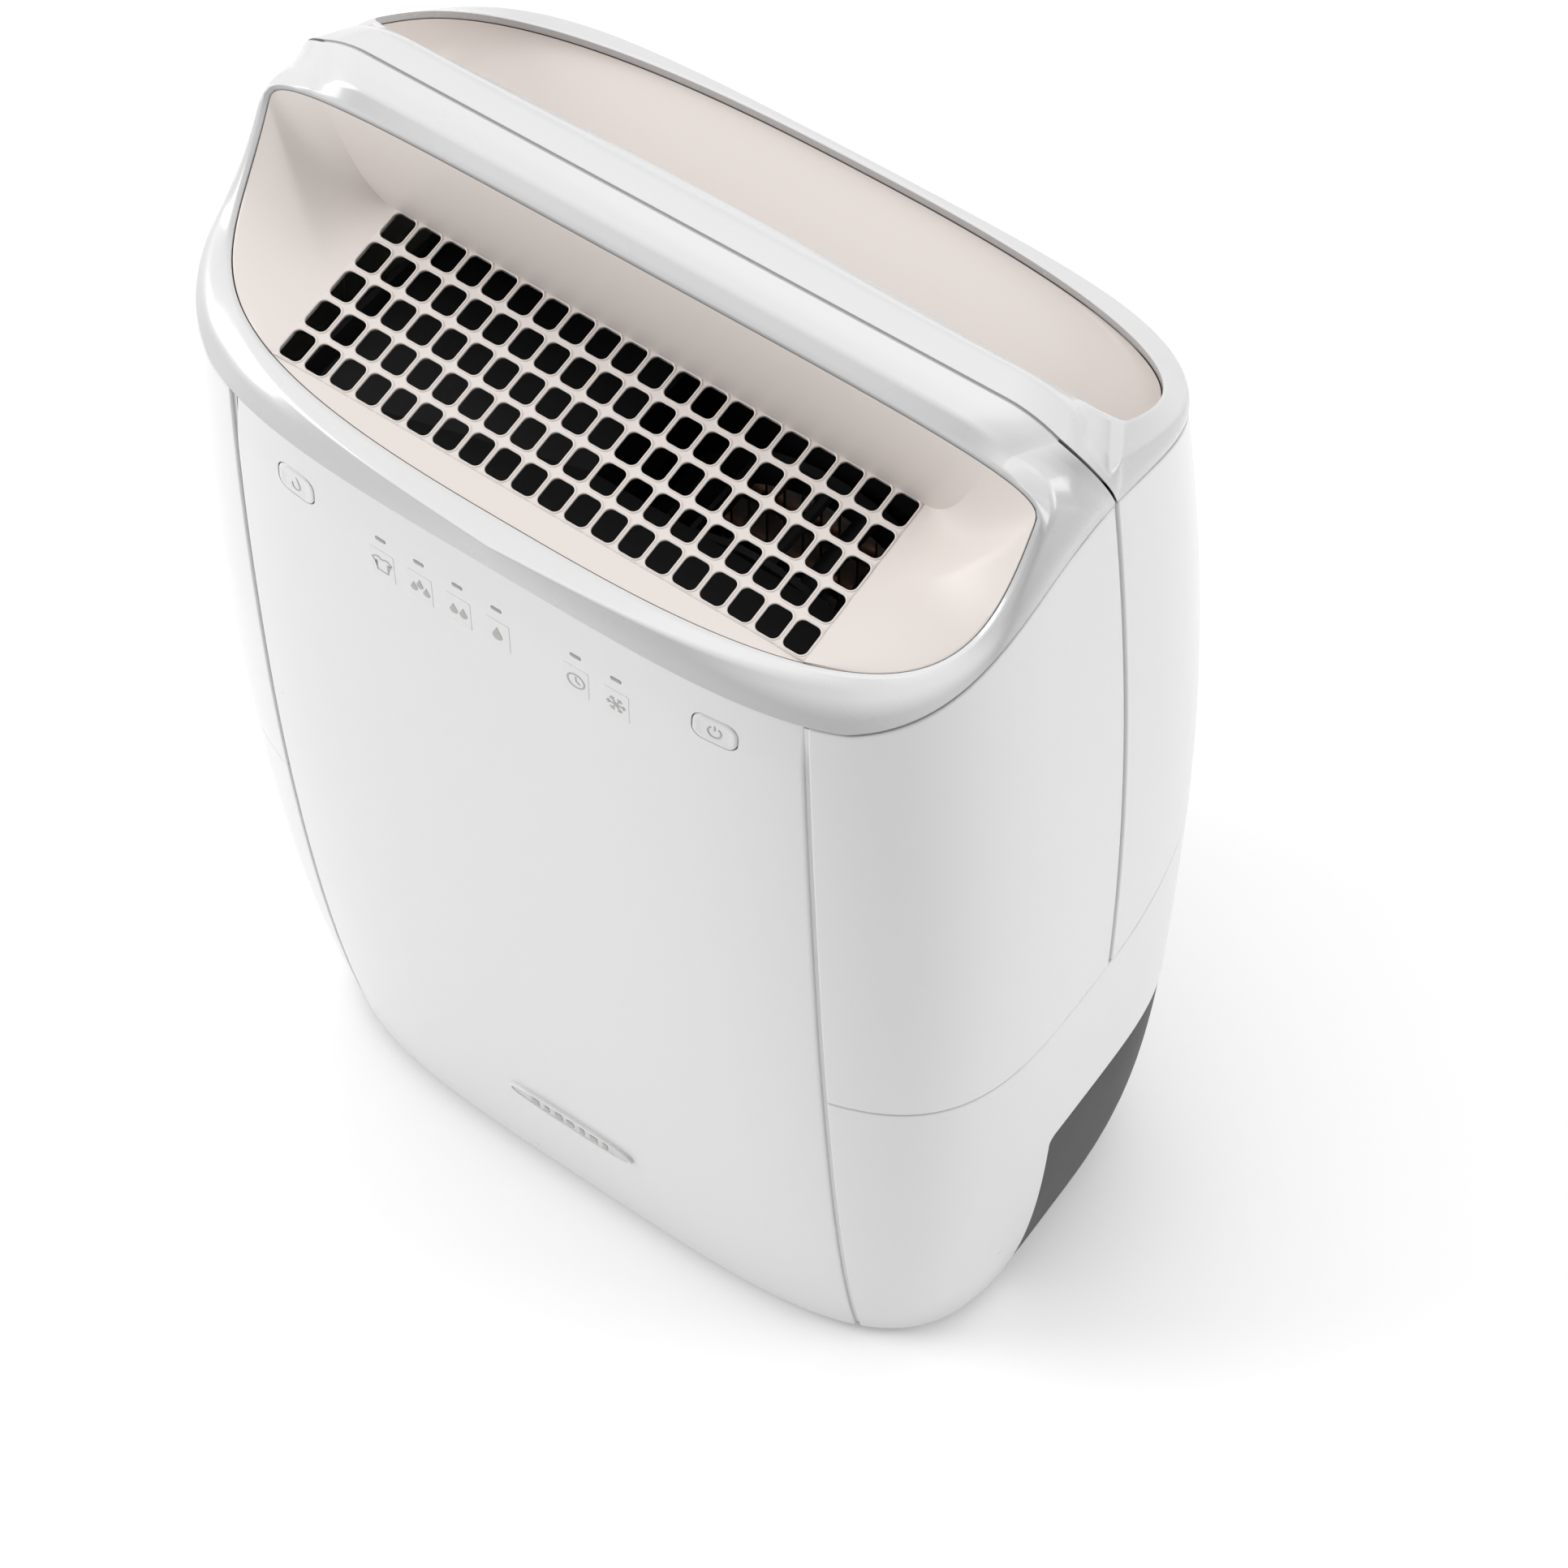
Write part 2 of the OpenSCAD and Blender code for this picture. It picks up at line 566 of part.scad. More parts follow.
module mid_deck() {
    color(white) difference() {
        translate([0, 0, deck_z]) linear_extrude(deck_t) polygon(outline(deck_z, wall + 1.4));
        upright(drip_x, drip_y, deck_z - 1, deck_z + deck_t + 1, spout_r + 0.2);
        for (a = bolt_angles) at_bolt(a) upright(0, 0, deck_z - 1, deck_z + deck_t + 1, 2.2);
    }
}

// Places its children on the axis of one compressor bolt
bolt_angles = [30, 150, 270];
module at_bolt(a) {
    translate([compressor_x + bolt_ring * cos(a), compressor_y + bolt_ring * sin(a), 0]) children();
}

module bay_wall() {
    zs = spread(floor_gap + plate_t + 0.5, deck_z - 0.2, 6);
    edge = [for (z = zs) [form_point(angle_at_y(tank_front_y, z), z, wall + 1)[0], z]];
    color(white) translate([0, tank_front_y - 2, 0]) rotate([90, 0, 0]) linear_extrude(2)
        polygon(concat(edge, [for (i = [len(edge) - 1:-1:0]) [-edge[i][0], edge[i][1]]]));
}

// ---- Front details ----

module badge() {
    half = 29.5;
    function edge(x) = 5.8 * pow(1 - pow(abs(x) / half, 2.6), 1 / 2.6);
    xs = [for (i = [-10:10]) (half - 0.4) * sin(i * 9)];
    color(white) patch_solid(
        [for (v = [-1, -0.5, 0, 0.5, 1]) [for (x = xs) panel_point(x, badge_z + v * edge(x), -1.6)]],
        [for (v = [-1, -0.5, 0, 0.5, 1]) [for (x = xs) panel_point(x, badge_z + v * edge(x), -0.05)]]);
}

// Thin plate lying on the front panel
module panel_tile(x, z, w, h, low, high) {
    zs = [z - h / 2, z, z + h / 2];
    xs = [x - w / 2, x, x + w / 2];
    patch_solid([for (c = zs) [for (a = xs) panel_point(a, c, high)]],
        [for (c = zs) [for (a = xs) panel_point(a, c, low)]]);
}

icon_w = 9.6;
icon_h = 13.6;
module icon_plates() {
    color(white) for (x = lamp_xs) panel_tile(x, button_z - 12, icon_w, icon_h, -0.05, -0.4);
}

module light_pipes() {
    color([0.75, 0.75, 0.75]) for (x = lamp_xs)
        panel_tile(x, button_z, lamp_w, lamp_h, 10, -0.1);
}

module push_button(x) {
    color(white) {
        panel_tile(x, button_z, button_w, button_h, 2.6, -0.3);
        between(x - 2, x + 2, board_y - 8, board_y - switch_h - button_travel - 0.3,
            button_z - 2, button_z + 2);
    }
}
module mode_button() push_button(-button_x);
module power_button() push_button(button_x);

module display_board() {
    color(board_green) between(-93, 93, board_y, board_y + 1.6, 386, 423);
}

module lamp_chips() {
    color([0.95, 0.95, 0.85]) for (x = lamp_xs)
        between(x - 1.6, x + 1.6, board_y - 1.9, board_y, button_z - 1, button_z + 1);
}

module tact_switches() {
    color(rubber) for (x = [-button_x, button_x])
        between(x - 3, x + 3, board_y - switch_h, board_y, button_z - 3, button_z + 3);
}

// ---- Electronics in front of the tank bay ----

module control_box() {
    color(smoke) difference() {
        between(-120, 40, -68, -30, 12, 112);
        between(-117.6, 37.6, -65.6, -29, 14.4, 109.6);
    }
}

module control_board() {
    color(board_green) between(-112, 32, -63, -61.4, 18, 106);
}

module run_capacitor() {
    color([0.2, 0.2, 0.22]) translate([-70, -46, 20]) cylinder(h = 60, r = 14, $fn = 48);
}

// ---- Refrigerant circuit ----

// Upright can with domed ends
module can(r, low, top, dome) {
    rotate_extrude($fn = 48) polygon(concat([[0, low]],
        [for (a = [0:15:90]) [r - dome + dome * sin(a), low + dome - dome * cos(a)]],
        [for (a = [0:15:90]) [r - dome + dome * cos(a), top - dome + dome * sin(a)]], [[0, top]]));
}

module compressor() {
    color(rubber) translate([compressor_x, compressor_y, 0]) difference() {
        can(compressor_r, compressor_low, compressor_top, can_dome);
        can(compressor_r - can_wall, compressor_low + can_wall, compressor_top - can_wall,
            can_dome - can_wall / 2);
        for (x = [-pipe_x, pipe_x]) upright(x, 0, compressor_top - can_wall - 2, compressor_top + 1, 2);
    }
}

module compressor_grommets() {
    color([0.3, 0.3, 0.3]) for (a = bolt_angles) at_bolt(a) difference() {
        upright(0, 0, deck_z + deck_t, compressor_low, 7);
        upright(0, 0, deck_z, compressor_low + 4, 2.4);
    }
}

module compressor_bolts() {
    color(steel) for (a = bolt_angles) at_bolt(a) {
        upright(0, 0, deck_z - 2.4, deck_z, 4);
        upright(0, 0, deck_z, compressor_low - 0.6, 1.9);
    }
}

module terminal_cover() {
    color([0.2, 0.2, 0.2]) between(compressor_x - 22, compressor_x + 18,
        compressor_y + compressor_r + 0.4, compressor_y + compressor_r + 14, 230, 272);
}

// Block of fins with an end plate on each side; tube_rows lists the heights of its tubes
module coil_block(y, x0, x1, z0, z1) {
    difference() {
        union() {
            for (x = [x0, x1 - end_t]) between(x, x + end_t, y, y + coil_d, z0, z1);
            for (i = [1:coil_fins - 1]) let(x = lerp(x0, x1, i / coil_fins))
                between(x - fin_t / 2, x + fin_t / 2, y + 0.5, y + coil_d - 0.5, z0 + 1, z1 - 1);
            for (z = [z0, z1 - end_t]) between(x0, x1, y, y + coil_d, z, z + end_t);
        }
        for (z = tube_heights(z0, z1)) translate([x0 - 1, y + coil_d / 2, z]) rotate([0, 90, 0])
            cylinder(h = x1 - x0 + 2, r = tube_r + 0.2, $fn = 24);
    }
}
function tube_heights(z0, z1) = [for (i = [0:5]) lerp(z0 + tube_margin, z1 - tube_margin, i / 5)];
// Serpentine of straight tubes joined by return bends outside the end plates
module coil_tubes(y, x0, x1, z0, z1) {
    zs = tube_heights(z0, z1);
    half = (zs[1] - zs[0]) / 2;
    out = 4;
    for (z = zs) translate([x0 - out, y + coil_d / 2, z]) rotate([0, 90, 0])
        cylinder(h = x1 - x0 + 2 * out, r = tube_r, $fn = 24);
    for (i = [0:4]) {
        right = i % 2 == 0;
        translate([right ? x1 + out : x0 - out, y + coil_d / 2, (zs[i] + zs[i + 1]) / 2])
            rotate([90, 0, 0]) rotate([0, 0, right ? -90 : 90])
            rotate_extrude(angle = 180, $fn = 32) translate([half, 0]) circle(r = tube_r, $fn = 24);
    }
}

module evaporator() { color(steel) coil_block(evaporator_y, -coil_x, coil_x1, coil_low, coil_high); }
module evaporator_tubes() {
    color(copper) coil_tubes(evaporator_y, -coil_x, coil_x1, coil_low, coil_high);
}
module condenser() { color(dull) coil_block(condenser_y, -coil_x, coil_x1, coil_low, coil_high); }
module condenser_tubes() {
    color(copper) coil_tubes(condenser_y, -coil_x, coil_x1, coil_low, coil_high);
}

module discharge_pipe() {
    color(copper) {
        upright(compressor_x - pipe_x, compressor_y, compressor_top, 360, 3);
        translate([compressor_x - pipe_x, compressor_y, 360]) sphere(r = 3, $fn = 24);
        along_y(compressor_x - pipe_x, 360, compressor_y, condenser_y - 1, 3);
    }
}

module suction_pipe() {
    color(copper) {
        upright(compressor_x + pipe_x, compressor_y, compressor_top, 340, 4);
        translate([compressor_x + pipe_x, compressor_y, 340]) sphere(r = 4, $fn = 24);
        along_y(compressor_x + pipe_x, 340, compressor_y, condenser_y - 1, 4);
    }
}

module filter_drier() {
    color(copper) {
        upright(-134, 24, 200, 270, 8);
        upright(-134, 24, 180, 200, 2.5);
        upright(-134, 24, 270, 300, 2.5);
    }
}

module drip_tray() {
    low = 222;
    color(white) difference() {
        union() {
            between(-coil_x - 6, coil_x - 8, condenser_y - 3, evaporator_y + coil_d + 3, low, low + 12);
            upright(drip_x, drip_y, deck_z + deck_t + 2, low + 1, spout_r);
        }
        between(-coil_x - 4, coil_x - 10, condenser_y - 1, evaporator_y + coil_d + 1, low + 2, low + 13);
        upright(drip_x, drip_y, deck_z, low + 13, spout_r - 2);
    }
}

// ---- Fan ----

// The scroll and the duct above it: the throat leads up into a wide chamber under the outlet
duct_t = 2;
duct_back_y = fan_back_y + 8;
throat_x0 = fan_x - 56;
throat_x1 = fan_x + 84;
throat_z = 404;
chamber_x = 99;
chamber_front_y = -78;
chamber_low_z = 421;
chamber_high_z = 431;

module scroll_housing() {
    inner = fan_r + 10;
    t = duct_t;
    color(smoke) difference() {
        union() {
            along_y(fan_x, fan_z, plate_y, duct_back_y, inner + t);
            between(throat_x0, throat_x1, plate_y, duct_back_y, fan_z, throat_z);
        }
        along_y(fan_x, fan_z, plate_y + t, duct_back_y - t, inner);
        between(throat_x0 + t, throat_x1 - t, plate_y + t, duct_back_y - t, fan_z, throat_z + 1);
        along_y(fan_x, fan_z, duct_back_y - t - 1, duct_back_y + 1, fan_r - 12);
        along_y(fan_x, fan_z, plate_y - 1, plate_y + t + 1, 12);
    }
}

module outlet_duct() {
    t = duct_t;
    function rim(x0, x1, y0, y1, z) = [[x0, y0, z], [x1, y0, z], [x1, y1, z], [x0, y1, z]];
    function throat(in) =
        rim(throat_x0 + in, throat_x1 - in, plate_y + in, duct_back_y - in, throat_z + fit_gap);
    function chamber(in, z) =
        rim(-chamber_x + in, chamber_x - in, chamber_front_y + in, duct_back_y - in, z);
    color(smoke) stack_solid([throat(0), chamber(0, chamber_low_z), chamber(0, chamber_high_z),
        chamber(t, chamber_high_z), chamber(t, chamber_low_z), throat(t)], ring = true);
}

module fan_motor() {
    color(steel) difference() {
        union() {
            along_y(fan_x, fan_z, motor_front_y, motor_back_y - 2, motor_r);
            along_y(fan_x, fan_z, motor_back_y - 3, motor_back_y + 4, 10);
        }
        along_y(fan_x, fan_z, motor_back_y - 24, motor_back_y + 6, shaft_r + 0.06);
    }
}

module motor_bracket() {
    color(steel) difference() {
        for (a = [0, 120, 240]) translate([fan_x, motor_back_y, fan_z]) rotate([0, a + 90, 0])
            between(14, 74, 0, 1.8, -8, 8);
        along_y(fan_x, fan_z, motor_back_y - 5, motor_back_y + 5, 12);
        for (a = [0, 120, 240]) translate([fan_x, 0, fan_z]) rotate([0, a + 90, 0])
            along_y(66, 0, motor_back_y - 5, motor_back_y + 5, 2.1);
    }
}

module motor_screws() {
    color(steel) for (a = [0, 120, 240]) translate([fan_x, 0, fan_z]) rotate([0, a + 90, 0]) {
        along_y(66, 0, motor_back_y - 2.2, motor_back_y, 3.6);
        along_y(66, 0, motor_back_y, motor_back_y + 1.8, 2);
    }
}

module fan_shaft() {
    color(steel) along_y(fan_x, fan_z, motor_back_y - 22, fan_back_y - 8, shaft_r);
}

module impeller() {
    color([0.25, 0.25, 0.26]) difference() {
        union() {
            along_y(fan_x, fan_z, fan_front_y, fan_front_y + 2.5, fan_r);
            along_y(fan_x, fan_z, fan_front_y - 6, fan_back_y - 18, 10);
            difference() {
                along_y(fan_x, fan_z, fan_back_y - 3, fan_back_y, fan_r);
                along_y(fan_x, fan_z, fan_back_y - 4, fan_back_y + 1, fan_r - 13);
            }
            for (i = [0:fan_blades - 1]) translate([fan_x, 0, fan_z]) rotate([0, i * 360 / fan_blades, 0])
                translate([fan_r - 7, 0, 0]) rotate([0, 35, 0])
                between(-6.5, 6.5, fan_front_y + 1, fan_back_y - 1, -0.8, 0.8);
        }
        along_y(fan_x, fan_z, fan_front_y - 8, fan_back_y, shaft_r + 0.02);
    }
}

module hub_nut() {
    color(steel) difference() {
        along_y(fan_x, fan_z, fan_back_y - 17.8, fan_back_y - 12, 7);
        along_y(fan_x, fan_z, fan_back_y - 19, fan_back_y - 11, shaft_r + 0.02);
    }
}

// ---- Intake grille with its dust mesh ----

intake_clear = 1.5;
intake_sunk = 0.7;
intake_t = 5;
intake_border = 6;
intake_bars = 22;
rib_x = 50;
mesh_gap = 0.4;
mesh_t = 2;
mesh_border = 4;
mesh_cols = 11;
mesh_rows = 8;
mesh_half = 0.6;
// Point of the back at x and z, at depth d, with x counted from right to left
function rear_point(x, z, d) = [-x, rear_face_y(x, z, d), z];
// Edges of count even strips of half width w between two ends
function strips(a, b, count, w) =
    [for (i = [1:count]) let(c = lerp(a, b, i / (count + 1))) each [c - w, c + w]];

module intake_grille() {
    x1 = intake_x - intake_clear;
    z0 = intake_low + intake_clear;
    z1 = intake_high - intake_clear;
    side = x1 - intake_border;
    xs = [-x1, -side, -rib_x * 1.5, -rib_x - 1, -rib_x + 1, -rib_x / 2, -1, 1, rib_x / 2, rib_x - 1,
        rib_x + 1, rib_x * 1.5, side, x1];
    zs = concat([z0, z0 + intake_border],
        strips(z0 + intake_border, z1 - intake_border, intake_bars, 1), [z1 - intake_border, z1]);
    color(white) patch_solid(
        [for (z = zs) [for (x = xs) rear_point(x, z, intake_sunk)]],
        [for (z = zs) [for (x = xs) rear_point(x, z, intake_sunk + intake_t)]],
        [for (i = [0:intake_bars], j = [0:3]) [2 * i + 1, 2 * i + 2, 3 * j + 1, 3 * j + 3]]);
}

module filter_mesh() {
    x1 = intake_x - mesh_border;
    z0 = intake_low + mesh_border;
    z1 = intake_high - mesh_border;
    d = intake_sunk + intake_t + mesh_gap;
    xs = concat([-x1, -x1 + mesh_border], strips(-x1, x1, mesh_cols, mesh_half),
        [x1 - mesh_border, x1]);
    zs = concat([z0, z0 + mesh_border], strips(z0, z1, mesh_rows, mesh_half),
        [z1 - mesh_border, z1]);
    color([0.3, 0.32, 0.34]) patch_solid(
        [for (z = zs) [for (x = xs) rear_point(x, z, d)]],
        [for (z = zs) [for (x = xs) rear_point(x, z, d + mesh_t)]],
        [for (i = [0:mesh_rows], j = [0:mesh_cols]) [2 * i + 1, 2 * i + 2, 2 * j + 1, 2 * j + 2]]);
}

// ---- Tank ----

tank_wall = 2.6;
tank_gap = 0.2;
grip_half = 46;
grip_depth = 15;
grip_low = 56;
grip_high = 100;
function grip(x, z) = z < grip_low || z > grip_high ? 0
    : grip_depth * ease((z - grip_low) / 14) * ease((grip_high - z) / 5)
        * ease((1 - abs(x) / grip_half) * 3);
// Outline of the tank at height z, inset by d, with columns at the edges of the grip
function tank_loop(z, d) =
    let(y0 = tank_front_y + 0.6 + d, a = angle_at_y(y0, z), inset = d + tank_gap,
        right = concat(spread(a, back_angle(grip_half + 6, z, inset), 12),
            [for (k = [1, 0.9, 0.78, 0.67]) back_angle(k * grip_half, z, inset)]),
        left = mirrored_angles(right))
    [for (s = concat(right, [90], left)) let(p = form_point(s, z, inset))
        [p[0], max(y0, p[1] - grip(p[0], z)), z]];

module water_tank() {
    outer_zs = [tank_floor_z, 30, grip_low, 63, 70, 95, 97.5, grip_high, tank_top_z - 0.7];
    inner_zs = [tank_top_z - 0.7, grip_high, 97.5, 95, 70, 63, grip_low, 30, tank_floor_z + 3];
    color(smoke) stack_solid(concat([for (z = outer_zs) tank_loop(z, 0)],
        [for (z = inner_zs) tank_loop(z, tank_wall)]));
}

lid_z = tank_top_z - 6.5;
hinge_x = -70;
hinge_y = 0;
hinge_z = 104;
module tank_lid() {
    color([0.5, 0.5, 0.51]) {
        difference() {
            translate([0, 0, lid_z]) linear_extrude(3)
                polygon(bay_outline(lid_z, tank_wall + 0.9, tank_front_y + tank_wall + 1.2));
            upright(drip_x, drip_y, lid_z - 1, lid_z + 4, 14);
            between(-138, -98, 20, 60, lid_z - 1, lid_z + 4);
        }
        for (x = [hinge_x - 10, hinge_x + 7]) difference() {
            between(x, x + 3, hinge_y - 5, hinge_y + 5, hinge_z - 5, lid_z + 0.5);
            translate([x - 1, hinge_y, hinge_z]) rotate([0, 90, 0]) cylinder(h = 5, r = 2.02, $fn = 32);
        }
    }
}

module float_pin() {
    color(steel) translate([hinge_x - 10.5, hinge_y, hinge_z]) rotate([0, 90, 0])
        cylinder(h = 21, r = 2, $fn = 32);
}

module float_arm() {
    color(white) difference() {
        union() {
            translate([hinge_x - 6.4, hinge_y, hinge_z]) rotate([0, 90, 0])
                cylinder(h = 12.8, r = 4.5, $fn = 32);
            between(hinge_x - 4, hinge_x + 4, hinge_y + 2, hinge_y + 30, hinge_z - 10, hinge_z - 4);
            between(hinge_x - 4, hinge_x + 4, hinge_y - 2, hinge_y + 8, hinge_z - 8, hinge_z);
            between(hinge_x - 22, hinge_x + 22, hinge_y + 30, hinge_y + 62, hinge_z - 20, hinge_z - 2);
        }
        translate([hinge_x - 8, hinge_y, hinge_z]) rotate([0, 90, 0]) cylinder(h = 16, r = 2.06, $fn = 32);
    }
}

module float_magnet() {
    color(steel) upright(hinge_x, hinge_y + 50, hinge_z - 1.9, hinge_z + 1.6, 5);
}

module tank_switch() {
    color(rubber) between(hinge_x - 8, hinge_x + 8, 40, 62, deck_z + deck_t + 0.1, deck_z + deck_t + 9);
}

// ---- Sensor and ports in the back band ----

module humidity_sensor() {
    color(board_green) between(114, 128, 52, 60, 300, 330);
}

// Sleeve behind the back wall with a round face set into the square cut-out
module port_flange(x, bore) {
    y = rear_face_y(x, port_z);
    difference() {
        union() {
            along_y(x, port_z, y - port_deep, y - wall - port_back, port_half + 4.5);
            along_y(x, port_z, y - port_deep, y - port_sunk, port_half - 0.4);
        }
        along_y(x, port_z, y - port_deep - 1, y, bore);
    }
}

module drain_outlet() { color(white) port_flange(-port_x, drain_r); }
module cord_inlet() { color(rubber) port_flange(port_x, 3.8); }

module drain_plug() {
    y = rear_face_y(-port_x, port_z);
    color(rubber) {
        along_y(-port_x, port_z, y - port_deep + 3, y - 0.4, drain_r - 0.06);
        along_y(-port_x, port_z, y - 0.5, y + 0.7, 8.6);
    }
}

front_panel();
side_shell_left();
side_shell_right();
rear_cover();
base_housing();
base_limb_left();
base_limb_right();
outlet_bezel();
outlet_funnel();
outlet_grille();
handle_frame();
rear_scoop();
base_plate();
mid_deck();
bay_wall();
rubber_feet();
base_screws();
badge();
icon_plates();
light_pipes();
display_board();
lamp_chips();
tact_switches();
mode_button();
power_button();
control_box();
control_board();
run_capacitor();
compressor();
compressor_grommets();
compressor_bolts();
terminal_cover();
evaporator();
evaporator_tubes();
condenser();
condenser_tubes();
discharge_pipe();
suction_pipe();
filter_drier();
drip_tray();
scroll_housing();
outlet_duct();
fan_motor();
motor_bracket();
motor_screws();
fan_shaft();
impeller();
hub_nut();
intake_grille();
filter_mesh();
water_tank();
tank_lid();
float_pin();
float_arm();
float_magnet();
tank_switch();
humidity_sensor();
drain_outlet();
drain_plug();
cord_inlet();
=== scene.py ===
import json
import math

import bmesh
import bpy
import numpy as np
from mathutils import Matrix, Vector


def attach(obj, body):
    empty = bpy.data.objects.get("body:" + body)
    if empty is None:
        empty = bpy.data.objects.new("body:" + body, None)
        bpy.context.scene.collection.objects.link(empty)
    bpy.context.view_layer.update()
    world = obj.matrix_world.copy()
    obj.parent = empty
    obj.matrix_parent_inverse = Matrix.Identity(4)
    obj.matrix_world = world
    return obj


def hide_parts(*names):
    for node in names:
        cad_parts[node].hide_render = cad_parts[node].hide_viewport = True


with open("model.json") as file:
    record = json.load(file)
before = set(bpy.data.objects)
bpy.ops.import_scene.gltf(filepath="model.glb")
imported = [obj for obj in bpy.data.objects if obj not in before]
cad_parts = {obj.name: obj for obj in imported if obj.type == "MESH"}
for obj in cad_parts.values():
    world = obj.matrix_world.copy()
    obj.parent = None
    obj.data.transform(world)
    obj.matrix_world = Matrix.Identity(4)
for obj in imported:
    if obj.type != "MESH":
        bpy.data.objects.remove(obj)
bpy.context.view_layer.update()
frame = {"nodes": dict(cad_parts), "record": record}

# Sizes are in millimetres, as in the CAD source; build() turns points into metres.
MM = 0.001

# ---- Dimensions ----

BODY_W, BODY_D, BODY_H = 335.0, 210.0, 500.0
WALL = 2.4
WAIST_Z, BELLY_Z = 200.0, 320.0
FOOT_IN, TOP_IN = 15.0, 17.0
FRONT_TUCK, BACK_LEAN, BACK_TUCK = 20.0, 15.0, 8.0
FRONT_N, BACK_N = 3.85, 4.0
SHELL_LOW = 6.0
SHELL_BEVEL = 0.7
GROOVE_LOW_X, GROOVE_DRAW, GROOVE_TOP_Z = 121.0, 11.0, 421.0
# Half widths of the vertical grooves, of the fine seams and of the groove along the carry bar
GROOVE_HALF, SEAM_HALF, BAR_HALF = 0.95, 0.3, 0.5
# Depth of the groove floors under the shells' faces, and their thickness
SEAM_DEEP, SEAM_BACK_T = 1.3, 1.0
PART_Y = 7.5
SIDE_SEAM_Z, SEAM_RISE = 213.0, 24.0
CREST_Z, EDGE_Z = 459.0, 430.0
PANEL_SET_BACK = 1.5
# Heights where the plan of the top ring, the shells' upper edge and the belt seam is read
RING_Z, UPPER_Z, BELT_Z, BAND_Z = 445.0, 420.0, 225.0, 215.0
TANK_FRONT_Y, TANK_TOP_Z = -20.5, 125.0
TANK_FLOOR_Z = 9.5
GRILLE_COLS, GRILLE_ROWS = 20, 5
GRILLE_PITCH_X, GRILLE_PITCH_Y = 10.08, 12.76
GRILLE_BAR_X, GRILLE_BAR_Y, GRILLE_HOLE_R = 1.7, 2.2, 2.3
GRILLE_DEEP = 1.5
GRILLE_Y, GRILLE_Z, GRILLE_TILT = -52.1, 447.7, math.radians(8.9)
GROOVE_Y, BAR_CROWN, BAR_FLAT_X = -8.0, 10.5, 118.0
BAR_BACK_Y, BAR_END_Z = 16.0, 489.5
OPENING_X, OPENING_Y = 142.8, -29.5
OPENING_FRONT, OPENING_BACK = 64.0, 6.2
OPENING_FRONT_N, OPENING_BACK_N = 2.84, 4.4
OPENING_LOW_Z, OPENING_RISE, OPENING_BEND = 442.2, 50.3, 3
SCOOP_X, SCOOP_Y, SCOOP_BACK, SCOOP_N = 141.8, 24.0, 63.2, 2.9
SCOOP_FRONT_N = 3.6
SCOOP_HIGH_Z, SCOOP_CROWN, SCOOP_FALL, SCOOP_FLOOR_Z = 481.0, 6.0, 0.63, 436.0
BEND_X, RIM_BEND_X, BAR_SKIRT = 136.0, 127.0, 13.0
INTAKE_X, INTAKE_LOW, INTAKE_HIGH = 106.0, 252.0, 410.0
BUTTON_X, BUTTON_Z, BUTTON_W, BUTTON_H, BUTTON_R = 81.0, 411.0, 15.6, 11.0, 4.0
LAMP_XS = (-45.6, -30.4, -15.2, 0.0, 30.4, 45.6)
LAMP_W, LAMP_H, LAMP_R = 4.0, 1.5, 0.72
TILE_W, TILE_H, TILE_DROP = 9.6, 13.6, 12.0
BADGE_Z, BADGE_HALF_W, BADGE_HALF_H = 70.0, 29.5, 5.8
PORT_X, PORT_Z, PORT_SPAN = 70.0, 176.0, 22.0


def ease(s):
    s = np.clip(s, 0, 1)
    return s * s * (3 - 2 * s)


def lerp(a, b, s):
    return a + (b - a) * s


def power(base, exponent):
    """Signed power, for superellipses."""
    return np.sign(base) * np.abs(base) ** exponent


# ---- Outer form ----

def half_w(z):
    low = FOOT_IN * np.clip((WAIST_Z - z) / WAIST_Z, 0, None) ** 3.5
    high = TOP_IN * np.clip((z - WAIST_Z) / 250, 0, None) ** 2.2
    return BODY_W / 2 - low - high


def front_y(z):
    return -BODY_D / 2 + FRONT_TUCK * (np.abs(z - BELLY_Z) / BELLY_Z) ** 2.3


def back_y(z):
    high = BACK_LEAN * np.clip((z - WAIST_Z) / 250, 0, None) ** 2
    low = BACK_TUCK * np.clip((WAIST_Z - z) / WAIST_Z, 0, None) ** 2
    return BODY_D / 2 - high - low


def mid_y(z):
    return (front_y(z) + back_y(z)) / 2


def half_d(z):
    return (back_y(z) - front_y(z)) / 2


def form(t, z, d=0.0):
    """Point of the outer form at ring angle t (radians) and height z, moved inwards by d."""
    t, z = np.broadcast_arrays(np.asarray(t, float), np.asarray(z, float))
    c, s = np.cos(t), np.sin(t)
    e = 2 / np.where(s < 0, FRONT_N, BACK_N)
    x = (half_w(z) - d) * power(c, e)
    y = mid_y(z) + (half_d(z) - d) * power(s, e)
    return np.stack([x, y, z], axis=-1)


def angle_at_x(x, z, d=0.0):
    return -np.arccos(np.minimum(1, x / (half_w(z) - d)) ** (FRONT_N / 2))


def back_angle(x, z, d=0.0):
    return np.arccos(np.minimum(1, x / (half_w(z) - d)) ** (BACK_N / 2))


def angle_at_y(y, z, d=0.0):
    s = (y - mid_y(z)) / (half_d(z) - d)
    return np.where(s < 0, -np.arcsin(np.clip(-s, 0, 1) ** (FRONT_N / 2)),
                    np.arcsin(np.clip(s, 0, 1) ** (BACK_N / 2)))


def face_y(x, z, d=0.0):
    ratio = np.minimum(1, np.abs(x) / (half_w(z) - d)) ** FRONT_N
    return mid_y(z) - (half_d(z) - d) * (1 - ratio) ** (1 / FRONT_N)


